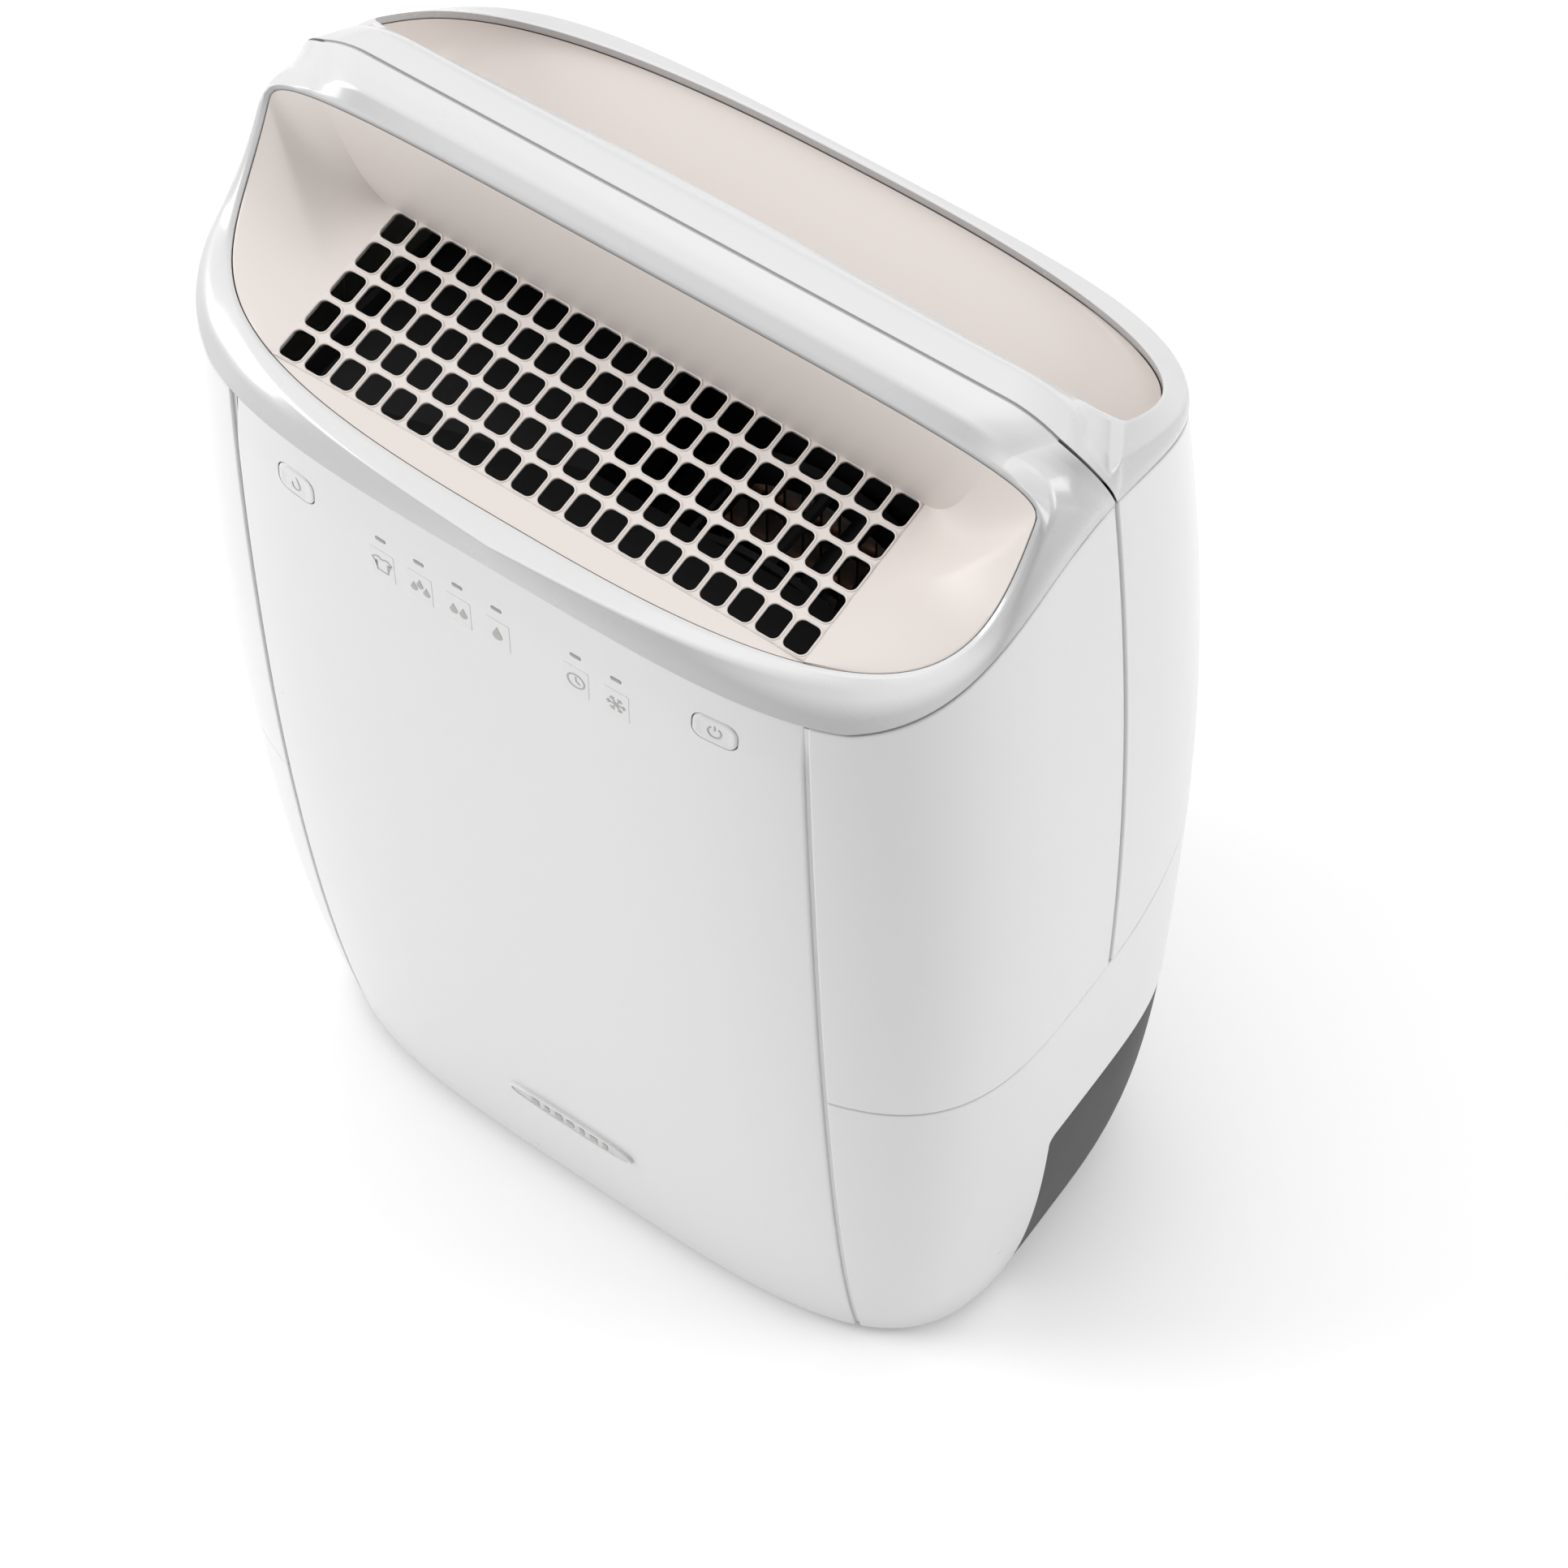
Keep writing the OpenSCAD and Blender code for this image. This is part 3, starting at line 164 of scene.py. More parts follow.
def rear_face_y(x, z, d=0.0):
    ratio = np.minimum(1, np.abs(x) / (half_w(z) - d)) ** BACK_N
    return mid_y(z) + (half_d(z) - d) * (1 - ratio) ** (1 / BACK_N)


def side_x(y, z, d=0.0):
    return form(angle_at_y(y, z, d), z, d)[..., 0]


def groove_x(z):
    return GROOVE_LOW_X - GROOVE_DRAW * (z / GROOVE_TOP_Z) ** 2


def side_seam(y):
    return SIDE_SEAM_Z + SEAM_RISE * ease((y - 10) / 75)


def edge_height(y):
    return np.maximum(EDGE_Z, CREST_Z - 30 * (np.abs(y + 2.5) / 90) ** 1.8)


def panel_inset(z):
    return PANEL_SET_BACK * ease((z - 405) / 25)


def panel(x, z, d=0.0):
    """Point of the front panel's face, moved inwards by d."""
    x, z = np.broadcast_arrays(np.asarray(x, float), np.asarray(z, float))
    return np.stack([x, face_y(x, z, d + panel_inset(z)), z], axis=-1)


# ---- Mesh tools ----

def build(name, verts, faces, sharp=40, bevel=0.0):
    """A mesh object from points in millimetres, with rounded edges where bevel is over 0."""
    mesh = bpy.data.meshes.new(name)
    points = (np.asarray(verts, float) * MM).tolist()
    mesh.from_pydata(points, [], [[int(k) for k in f] for f in faces])
    bm = bmesh.new()
    bm.from_mesh(mesh)
    bmesh.ops.remove_doubles(bm, verts=bm.verts, dist=1e-6)
    bmesh.ops.recalc_face_normals(bm, faces=bm.faces)
    if bevel:
        limit = math.radians(sharp)
        hard = [e for e in bm.edges if e.is_manifold and e.calc_face_angle(0) > limit]
        bmesh.ops.bevel(bm, geom=hard, offset=bevel * MM, segments=3, profile=0.5,
                        affect="EDGES", clamp_overlap=True)
    bm.to_mesh(mesh)
    bm.free()
    return shaded(name, mesh, sharp)


def shaded(name, mesh, sharp=40):
    mesh.shade_smooth()
    mesh.set_sharp_from_angle(angle=math.radians(sharp))
    obj = bpy.data.objects.new(name, mesh)
    bpy.context.scene.collection.objects.link(obj)
    even = obj.modifiers.new("even", "WEIGHTED_NORMAL")
    even.keep_sharp = True
    return obj


def grid_faces(rows, cols, start=0, flip=False, wrap=False):
    faces = []
    for i in range(rows - 1):
        for j in range(cols if wrap else cols - 1):
            a, b = start + i * cols + j, start + i * cols + (j + 1) % cols
            quad = [a, b, b + cols, a + cols]
            faces.append(quad[::-1] if flip else quad)
    return faces


def slab(name, outer, inner, bevel=SHELL_BEVEL):
    """A closed wall between two grids of points: rows go up, columns left to right from outside."""
    rows, cols = outer.shape[:2]
    n = rows * cols
    faces = grid_faces(rows, cols) + grid_faces(rows, cols, n, flip=True)
    for j in range(cols - 1):
        faces.append([j + 1, j, n + j, n + j + 1])
        k = (rows - 1) * cols + j
        faces.append([k, k + 1, n + k + 1, n + k])
    for i in range(rows - 1):
        a, b = i * cols, (i + 1) * cols
        faces.append([a, b, n + b, n + a])
        a, b = a + cols - 1, b + cols - 1
        faces.append([b, a, n + a, n + b])
    return build(name, np.concatenate([outer.reshape(-1, 3), inner.reshape(-1, 3)]), faces,
                 bevel=bevel)


def tube_of_sections(name, sections, sharp=50):
    """Sections (station, point, xyz) joined into a ring whose own section is a closed loop."""
    stations, points = sections.shape[:2]
    total = stations * points
    faces = [[k % total for k in quad] for quad in grid_faces(stations + 1, points, wrap=True)]
    return build(name, sections.reshape(-1, 3), faces, sharp=sharp)


def rounded(points, radii, steps=6):
    """Sections with their corners rounded: points is (station, corner, xyz), radii is
    (station, corner)."""
    count = points.shape[1]
    out = []
    for k in range(count):
        here = points[:, k]
        before = points[:, k - 1] - here
        after = points[:, (k + 1) % count] - here
        lb = np.linalg.norm(before, axis=1, keepdims=True) + 1e-9
        la = np.linalg.norm(after, axis=1, keepdims=True) + 1e-9
        r = radii[:, k:k + 1]
        p0 = here + before / lb * np.minimum(r, lb * 0.45)
        p2 = here + after / la * np.minimum(r, la * 0.45)
        for s in np.linspace(0, 1, steps):
            out.append((1 - s) ** 2 * p0 + 2 * s * (1 - s) * here + s * s * p2)
    return np.stack(out, axis=1)


def cut(obj, cutters):
    """Takes the cutters out of obj and deletes them."""
    for cutter in cutters:
        hole = obj.modifiers.new("hole", "BOOLEAN")
        hole.operation = "DIFFERENCE"
        hole.solver = "EXACT"
        hole.object = cutter
    while obj.modifiers[0].type == "WEIGHTED_NORMAL":
        obj.modifiers.remove(obj.modifiers[0])
    bpy.context.view_layer.update()
    result = obj.evaluated_get(bpy.context.evaluated_depsgraph_get())
    mesh = bpy.data.meshes.new_from_object(result)
    name, old = obj.name, obj.data
    bpy.data.objects.remove(obj)
    for cutter in cutters:
        bpy.data.objects.remove(cutter)
    bpy.data.meshes.remove(old)
    return shaded(name, mesh)


def rounded_rect(w, h, r, steps=6):
    """Outline points of a rounded rectangle centred on 0, counterclockwise."""
    points = []
    for cx, cy, start in ((1, 1, 0), (-1, 1, 90), (-1, -1, 180), (1, -1, 270)):
        for k in range(steps + 1):
            a = math.radians(start + 90 * k / steps)
            points.append((cx * (w / 2 - r) + r * math.cos(a), cy * (h / 2 - r) + r * math.sin(a)))
    return np.array(points)


def prism(name, outline, place, low, high):
    """A closed prism: place(u, v, d) puts an outline point at depth d."""
    n = len(outline)
    loops = [place(outline[:, 0], outline[:, 1], d) for d in (high, low)]
    faces = [list(range(n)), list(range(2 * n - 1, n - 1, -1))]
    faces += [[(j + 1) % n, j, n + j, n + (j + 1) % n] for j in range(n)]
    return build(name, np.concatenate(loops), faces)


def merged(name, stacks, sharp=40):
    """One mesh of several stacks of closed loops, each stack capped at both ends."""
    verts, faces, start = [], [], 0
    for loops in stacks:
        n = len(loops[0])
        last = start + (len(loops) - 1) * n
        faces += grid_faces(len(loops), n, start, wrap=True)
        faces += [list(range(start, start + n)), list(range(last, last + n))]
        verts += list(loops)
        start = last + n
    return build(name, np.concatenate(verts), faces, sharp=sharp)


def ride(obj, body, slot, *nodes):
    """Fastens a piece to a body, gives it a slot's finish and says which nodes it replaces."""
    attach(obj, body)
    if nodes:
        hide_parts(*nodes)
    obj.data.materials.clear()
    obj.data.materials.append(material(slot))


# ---- Materials ----

ROUGH_SWING = 0.06
# Heights of the surface normal between which the painted shade on upright faces fades out
UPRIGHT_SHADE_FROM, UPRIGHT_SHADE_TO = 0.35, 0.96


def add_node(tree, kind, **inputs):
    """A shader node with inputs set by name, where _ stands for a space."""
    node = tree.nodes.new("ShaderNode" + kind)
    for key, value in inputs.items():
        node.inputs[key.replace("_", " ")].default_value = value
    return node


def surface(name, colour, roughness, tint=0.97, mottle=22.0, grain=900.0, grain_height=0.0,
            metallic=0.0, coat=0.0, coat_roughness=0.1, specular=0.5, sheen=0.0,
            streak=(1, 1, 1), upright_shade=None):
    """A moulded, painted or metal surface: slow mottling of colour and gloss over a fine grain.
    The last argument is the share of the colour left where the surface stands upright: painted
    shade that darkens faces as they turn from up to upright."""
    mat = bpy.data.materials.new(name)
    mat.use_nodes = True
    tree = mat.node_tree
    link = tree.links.new
    shader = tree.nodes["Principled BSDF"]
    place = add_node(tree, "TexCoord")
    stretch = add_node(tree, "Mapping", Scale=streak)
    slow = add_node(tree, "TexNoise", Scale=mottle, Detail=4)
    colours = add_node(tree, "Mix")
    colours.data_type = "RGBA"
    colours.inputs["A"].default_value = (*[c * tint for c in colour], 1)
    colours.inputs["B"].default_value = (*colour, 1)
    gloss = add_node(tree, "MapRange", To_Min=roughness - ROUGH_SWING,
                     To_Max=roughness + ROUGH_SWING)
    link(place.outputs["Object"], stretch.inputs["Vector"])
    link(stretch.outputs["Vector"], slow.inputs["Vector"])
    link(slow.outputs["Fac"], colours.inputs["Factor"])
    link(slow.outputs["Fac"], gloss.inputs["Value"])
    tone = colours.outputs["Result"]
    # Painted shade: the colour is scaled down where the normal turns from up towards level,
    # standing in for the shade that upright faces get.
    if upright_shade:
        facing = add_node(tree, "NewGeometry")
        split = add_node(tree, "SeparateXYZ")
        share = add_node(tree, "MapRange", From_Min=UPRIGHT_SHADE_FROM, From_Max=UPRIGHT_SHADE_TO, To_Min=upright_shade,
                         To_Max=1.0)
        share.interpolation_type = "SMOOTHSTEP"
        scaled = add_node(tree, "VectorMath")
        scaled.operation = "SCALE"
        link(facing.outputs["Normal"], split.inputs["Vector"])
        link(split.outputs["Z"], share.inputs["Value"])
        link(tone, scaled.inputs[0])
        link(share.outputs["Result"], scaled.inputs["Scale"])
        tone = scaled.outputs["Vector"]
    link(tone, shader.inputs["Base Color"])
    link(gloss.outputs["Result"], shader.inputs["Roughness"])
    if grain_height:
        fine = add_node(tree, "TexNoise", Scale=grain, Detail=2)
        bump = add_node(tree, "Bump", Strength=0.35, Distance=grain_height)
        link(stretch.outputs["Vector"], fine.inputs["Vector"])
        link(fine.outputs["Fac"], bump.inputs["Height"])
        link(bump.outputs["Normal"], shader.inputs["Normal"])
    shader.inputs["Metallic"].default_value = metallic
    shader.inputs["Coat Weight"].default_value = coat
    shader.inputs["Coat Roughness"].default_value = coat_roughness
    shader.inputs["Specular IOR Level"].default_value = specular
    shader.inputs["Sheen Weight"].default_value = sheen
    return mat


def glowing(mat, strength):
    """Gives a material a faint even light of its own, like a lit table top."""
    shader = mat.node_tree.nodes["Principled BSDF"]
    shader.inputs["Emission Color"].default_value = (1, 1, 1, 1)
    shader.inputs["Emission Strength"].default_value = strength
    return mat


FINISHES = {
    "white_shell": dict(colour=(0.7, 0.7, 0.702), roughness=0.3, tint=0.985, grain=260.0,
                        grain_height=0.00002, coat=0.25, coat_roughness=0.12),
    # bezel_shell is the shells' white plastic with light and shade painted in: a lighter colour as
    # painted light on faces that look up, and painted shade on upright faces.
    "bezel_shell": dict(colour=(0.74, 0.74, 0.742), roughness=0.27, tint=0.985, grain=260.0,
                        grain_height=0.00002, coat=0.35, upright_shade=0.67),
    "white_button": dict(colour=(0.69, 0.69, 0.692), roughness=0.28, tint=0.985, grain=400.0,
                         grain_height=0.00001, coat=0.25),
    "badge_gloss": dict(colour=(0.5, 0.5, 0.5), roughness=0.2, coat=0.4,
                        coat_roughness=0.08),
    "icon_print": dict(colour=(0.42, 0.41, 0.39), roughness=0.45, tint=0.93, mottle=300.0),
    "cream_inner": dict(colour=(0.75, 0.69, 0.655), roughness=0.42, tint=0.975, grain=1500.0,
                        grain_height=0.00003),
    "inner_plastic": dict(colour=(0.7, 0.7, 0.68), roughness=0.5, tint=0.95, grain=1200.0,
                          grain_height=0.00003),
    "grille_plastic": dict(colour=(0.78, 0.78, 0.775), roughness=0.42, grain=1100.0,
                           grain_height=0.00003),
    "smoke_plastic": dict(colour=(0.05, 0.05, 0.051), roughness=0.5, tint=0.93, grain=700.0,
                          grain_height=0.00002, specular=0.15),
    "black_plastic": dict(colour=(0.016, 0.016, 0.017), roughness=0.6, specular=0.25, tint=0.8,
                          grain=1600.0, grain_height=0.00006),
    "fan_plastic": dict(colour=(0.035, 0.035, 0.038), roughness=0.42, tint=0.85, grain=1200.0,
                        grain_height=0.00003),
    "black_rubber": dict(colour=(0.022, 0.022, 0.023), roughness=0.75, tint=0.7, mottle=60.0,
                         grain=2200.0, grain_height=0.0001, specular=0.3, sheen=0.15),
    "compressor_paint": dict(colour=(0.012, 0.012, 0.013), roughness=0.32, tint=0.8, grain=420.0,
                             grain_height=0.00006, coat=0.3),
    "zinc_steel": dict(colour=(0.56, 0.56, 0.58), roughness=0.36, tint=0.86, mottle=120.0,
                       grain_height=0.00002, metallic=1.0),
    "polished_steel": dict(colour=(0.7, 0.7, 0.71), roughness=0.18, tint=0.94, mottle=90.0,
                           grain=1400.0, grain_height=0.00001, metallic=1.0, streak=(1, 14, 1)),
    "fin_aluminium": dict(colour=(0.76, 0.77, 0.78), roughness=0.36, tint=0.85, mottle=60.0,
                          grain=800.0, grain_height=0.00003, metallic=1.0, streak=(1, 1, 7)),
    "copper_tube": dict(colour=(0.78, 0.36, 0.2), roughness=0.32, tint=0.72, mottle=70.0,
                        grain=600.0, grain_height=0.00002, metallic=1.0),
    "circuit_board": dict(colour=(0.01, 0.12, 0.045), roughness=0.34, tint=0.75, mottle=180.0,
                          grain=500.0, grain_height=0.00003, coat=0.4),
    "capacitor_can": dict(colour=(0.62, 0.62, 0.63), roughness=0.34, tint=0.88, mottle=80.0,
                          grain_height=0.00002, metallic=1.0, streak=(1, 1, 9)),
    "lamp_lens": dict(colour=(0.3, 0.3, 0.31), roughness=0.22, tint=0.8, mottle=500.0, coat=0.5),
    "lamp_white": dict(colour=(0.85, 0.8, 0.5), roughness=0.4, tint=0.85, mottle=700.0),
    "mesh_nylon": dict(colour=(0.05, 0.055, 0.06), roughness=0.6, tint=0.7, mottle=400.0,
                       grain=2600.0, grain_height=0.00008, sheen=0.3),
}
_made = {}


def material(slot):
    if slot not in _made:
        _made[slot] = surface(slot, **FINISHES[slot])
    return _made[slot]


# ---- Shells ----

BUTTON_GAP, LAMP_GAP = 0.7, 0.2
CUT_DEPTH = 6


def row_shares(count):
    """Shares from 0 to 1 with a close row at each end, so that the rounded edges stay crisp."""
    return np.concatenate([[0], np.linspace(0.006, 0.994, count), [1]])


def panel_cutter(x, w, h, r):
    return prism("cutter", rounded_rect(w, h, r),
                 lambda u, v, d: panel(x + u, BUTTON_Z + v, d), CUT_DEPTH, -CUT_DEPTH)


def front_panel():
    zs = np.concatenate([np.linspace(SHELL_LOW, 30, 16), np.linspace(33, 400, 120),
                         np.linspace(402, EDGE_Z - 2 * SEAM_HALF, 15)])
    g = groove_x(zs) - GROOVE_HALF
    us = np.linspace(-1, 1, 141)
    xs = g[:, None] * us[None, :]
    z = np.broadcast_to(zs[:, None], xs.shape)
    obj = slab("front_panel_skin", panel(xs, z), panel(xs, z, WALL))
    cutters = [panel_cutter(x, BUTTON_W + BUTTON_GAP, BUTTON_H + BUTTON_GAP,
                            BUTTON_R + BUTTON_GAP / 2) for x in (-BUTTON_X, BUTTON_X)]
    cutters += [panel_cutter(x, LAMP_W + LAMP_GAP, LAMP_H + LAMP_GAP, 0.75) for x in LAMP_XS]
    ride(cut(obj, cutters), "housing", "white_shell", "front_panel")


def plan_y(angles, z):
    """y of the outer form at height z, for each column of a shell."""
    return form(angles(np.full((1, 1), z), 0), z)[0, :, 1]


def shell(name, angles, low, high, count, side=1):
    """A shell between two heights per column; angles(z, d) gives the ring angles of a row."""
    def place(d):
        z = lerp(low, high, column(row_shares(count)))
        p = form(angles(z, d), z, d) * [side, 1, 1]
        return p if side > 0 else p[:, ::-1]

    return slab(name, place(0.0), place(WALL))


def side_shell(side, name):
    s = np.linspace(0, 1, 56)

    def angles(z, d):
        return lerp(angle_at_x(groove_x(z) + GROOVE_HALF, z, d),
                    angle_at_y(PART_Y - GROOVE_HALF, z, d), s)

    top = plan_y(angles, UPPER_Z)
    obj = shell(name + "_skin", angles, side_seam(top) + SEAM_HALF, edge_height(top) - SEAM_HALF,
                84, side)
    ride(obj, "housing", "white_shell", name)


def rear_cover():
    us = np.linspace(0, 1, 150)

    def angles(z, d):
        a0 = angle_at_y(PART_Y + GROOVE_HALF, z, d)
        return lerp(a0, math.pi - a0, us)

    obj = shell("rear_cover_skin", angles, side_seam(plan_y(angles, BELT_Z)) + SEAM_HALF,
                edge_height(plan_y(angles, UPPER_Z)) - SEAM_HALF, 84)
    mid_z = (INTAKE_LOW + INTAKE_HIGH) / 2
    window = prism("cutter", rounded_rect(2 * INTAKE_X, INTAKE_HIGH - INTAKE_LOW, 9),
                   lambda u, v, d: np.stack([u, u * 0 + 95 - d, mid_z + v], axis=-1), 30, -30)
    ride(cut(obj, [window]), "housing", "white_shell", "rear_cover")


def base_housing():
    """The lower shell: its limbs reach the foot, its band runs over the tank bay."""
    bay_corner, bay_reach, bay_height = 4.0, 260.0, TANK_TOP_Z + 60
    us = np.linspace(0, 1, 230)

    def angles(z, d):
        a0 = angle_at_x(groove_x(z) + GROOVE_HALF, z, d)
        return lerp(a0, math.pi - a0, us)

    high = side_seam(plan_y(angles, BAND_Z)) - SEAM_HALF
    obj = shell("base_housing_skin", angles, SHELL_LOW, high, 76)
    centre_y = TANK_FRONT_Y + bay_reach / 2
    centre_z = TANK_TOP_Z - bay_height / 2
    bay = prism("cutter", rounded_rect(bay_reach, bay_height, bay_corner),
                lambda u, v, d: np.stack([u * 0 + d, centre_y + u, centre_z + v], axis=-1),
                -BODY_W, BODY_W)
    ports = [prism("cutter", rounded_rect(PORT_SPAN, PORT_SPAN, PORT_SPAN / 2 - 0.1, 10),
                   lambda u, v, d, x=x: np.stack([x - u, u * 0 + 100 + d, PORT_Z + v], axis=-1),
                   -20, 20) for x in (-PORT_X, PORT_X)]
    ride(cut(obj, [bay] + ports), "housing", "white_shell", "base_housing",
         "base_limb_left", "base_limb_right")


def strip(name, low, high):
    """A thin closed strip behind a seam; low and high give its two edges at depth d."""
    outer = np.stack([low(SEAM_DEEP), high(SEAM_DEEP)])
    inner = np.stack([low(SEAM_DEEP + SEAM_BACK_T), high(SEAM_DEEP + SEAM_BACK_T)])
    ride(slab(name, outer, inner, bevel=0), "housing", "white_shell")


def seam_backs():
    """The floors of the grooves and seams between the shells."""
    zs = np.linspace(SHELL_LOW + 1, EDGE_Z - 2, 90)
    reach = GROOVE_HALF - 0.02

    def groove(side, dx):
        return lambda d: form(angle_at_x(groove_x(zs) + dx, zs, d), zs, d) * [side, 1, 1]

    strip("groove_floor_right", groove(1, reach), groove(1, -reach))
    strip("groove_floor_left", groove(-1, -reach), groove(-1, reach))
    rise = np.linspace(SIDE_SEAM_Z + 1, float(edge_height(PART_Y)) - 1, 60)

    def side(sign, dy):
        return lambda d: form(angle_at_y(PART_Y + dy, rise, d), rise, d) * [sign, 1, 1]

    strip("side_floor_right", side(1, reach), side(1, -reach))
    strip("side_floor_left", side(-1, -reach), side(-1, reach))
    end = float(angle_at_x(groove_x(SIDE_SEAM_Z) + GROOVE_HALF, SIDE_SEAM_Z))
    ts = np.linspace(end, math.pi - end, 300)
    level = side_seam(form(ts, SIDE_SEAM_Z)[:, 1])
    strip("belt_floor", lambda d: form(ts, level - SEAM_HALF + 0.01, d),
          lambda d: form(ts, level + SEAM_HALF - 0.01, d))


def bar_seam_back():
    """The floor of the groove along the carry bar."""
    x = np.linspace(-BEND_X, BEND_X, 120)
    half = BAR_HALF + 0.3
    rows = [np.stack([x, x * 0 + GROOVE_Y + dy, bar_z(x) - 1.1], axis=-1) for dy in (-half, half)]
    outer = np.stack(rows)
    ride(slab("bar_floor", outer, outer - np.array([0, 0, SEAM_BACK_T]), bevel=0), "housing",
         "white_shell")


# ---- Top frames ----

# Steps round each half: the front up to the flank's end, the bend, the bar, the rear ring
FRONT_STEPS, FLANK_STEPS, STRIP_STEPS, RING_STEPS = (48, 24, 14), 26, 56, 80
FRONT_COUNT = sum(FRONT_STEPS)
# How far the bezel's crest stands out from the cream seam, at the brow, flank and bar
BROW_OUT, FLANK_OUT, BAR_OUT = 11.0, 3.8, 4.5
# Rise of the brow's crest over the shells, and drop of the crest under the flank seam and bar
BROW_RISE, FLANK_DROP, BAR_DROP = 13.2, 0.8, 2.7
BELLY_R = 30.0
UP = np.array([0, 0, 1])


def bar_z(x):
    over = np.clip((np.abs(x) - BAR_FLAT_X) / (half_w(BAR_END_Z) - BAR_FLAT_X), 0, None)
    return BODY_H - BAR_CROWN * over ** 2


def opening_point(f, out=0.0):
    """Cream seam of the outlet at angle f (radians), grown by out."""
    c, s = np.cos(f), np.sin(f)
    e = 2 / np.where(s < 0, OPENING_FRONT_N, OPENING_BACK_N)
    x = (OPENING_X + out) * power(c, e)
    y = OPENING_Y + (np.where(s < 0, OPENING_FRONT, OPENING_BACK) + out) * power(s, e)
    w = np.clip((y - OPENING_Y + OPENING_FRONT) / (OPENING_FRONT + OPENING_BACK), 0, 1)
    return np.stack([x, y, OPENING_LOW_Z + OPENING_RISE * w ** OPENING_BEND], axis=-1)


def scoop_point(f, out=0.0):
    """Cream seam of the hand scoop at angle f (radians), grown by out."""
    c, s = np.cos(f), np.sin(f)
    e = 2 / np.where(s < 0, SCOOP_FRONT_N, SCOOP_N)
    x = (SCOOP_X + out) * power(c, e)
    y = SCOOP_Y + (np.where(s < 0, SCOOP_Y - BAR_BACK_Y, SCOOP_BACK) + out) * power(s, e)
    z = SCOOP_HIGH_Z + SCOOP_CROWN * (1 - (x / SCOOP_X) ** 2) - SCOOP_FALL * (y - BAR_BACK_Y)
    return np.stack([x, y, z], axis=-1)


def top_edge(t):
    """Upper edge of the shells at ring angle t, where the top frames start."""
    return form(t, edge_height(form(t, RING_Z)[:, 1]) + SEAM_HALF)


def even(curve, a, b, steps):
    """Evenly spaced points of a curve between two parameters, both ends included."""
    p = curve(np.linspace(a, b, 1500))
    length = np.concatenate([[0], np.cumsum(np.linalg.norm(np.diff(p, axis=0), axis=1))])
    want = np.linspace(0, length[-1], steps + 1)
    return np.stack([np.interp(want, length, p[:, k]) for k in range(3)], axis=-1)


def chained(curve, knots, counts):
    """Points of a curve with the given number of even steps between neighbouring knots."""
    runs = [even(curve, a, b, n) for a, b, n in zip(knots[:-1], knots[1:], counts)]
    return np.concatenate([run[:-1] for run in runs[:-1]] + [runs[-1]])


def bezier(start, a, b, end, steps):
    """Points of the cubic curve from start to end with the handles a and b."""
    s = np.linspace(0, 1, steps + 1)[:, None]
    return (1 - s) ** 3 * start + 3 * s * (1 - s) ** 2 * a + 3 * s * s * (1 - s) * b + s ** 3 * end


def seam_curve(steps):
    """Flank part of the seam between the two top frames, from the bar's groove to the side."""
    end_z = float(edge_height(PART_Y)) + SEAM_HALF
    start = np.array([BEND_X, GROOVE_Y, float(bar_z(BEND_X))])
    a = np.array([146.0, GROOVE_Y - 0.5, 492.0])
    b = np.array([152.0, -3.0, 480.0])
    end = np.array([float(side_x(PART_Y, end_z)), PART_Y, end_z])
    return bezier(start, a, b, end, steps)


def column(values):
    return np.asarray(values, float)[:, None]


def toward(p, q, distance):
    """Point p moved towards q in plan by a distance in millimetres, at most as far as q."""
    v = (q - p) * np.array([1, 1, 0])
    length = np.linalg.norm(v, axis=1, keepdims=True) + 1e-9
    return p + v / length * np.minimum(distance, length)


def at_height(p, z):
    """Points with the places in plan of p and the heights z."""
    return np.stack([p[:, 0], p[:, 1], np.broadcast_to(z, p[:, 0].shape)], axis=-1)


def outward(curve):
    """Unit vectors in plan square to a half curve that runs from x = 0 round to x = 0."""
    run = np.gradient(curve, axis=0)
    run[[0, -1], 1] = 0
    side = np.stack([-run[:, 1], run[:, 0], run[:, 0] * 0], axis=-1)
    side /= np.linalg.norm(side, axis=1, keepdims=True) + 1e-9
    return side * (1 if side[0, 1] * curve[0, 1] > 0 else -1)


def above_chord(p, edge, seam, lift):
    """Heights of p, raised where needed so that the face from edge to seam stays full."""
    span = np.hypot(*(seam - edge)[:, :2].T) + 1e-9
    share = np.minimum(np.hypot(*(p - edge)[:, :2].T) / span, 1)
    return np.maximum(p[:, 2], lerp(edge[:, 2], seam[:, 2], share) + lift)


def bulged(edge, crest, rise):
    """Middle of the face between edge and crest, pushed out square to it by rise."""
    middle = (edge + crest) / 2
    normal = np.cross(np.gradient(middle, axis=0), crest - edge)
    normal /= np.linalg.norm(normal, axis=1, keepdims=True) + 1e-9
    away = np.sum(normal * (middle - np.array([0, -20, 430])), axis=1)
    blur = 10
    normal = np.pad(normal * column(np.sign(away)), ((blur, blur), (0, 0)), mode="edge")
    window = np.hanning(2 * blur + 1)
    normal = np.stack([np.convolve(part, window, "valid") for part in normal.T], axis=1)
    normal /= np.linalg.norm(normal, axis=1, keepdims=True)
    return middle + normal * column(rise)


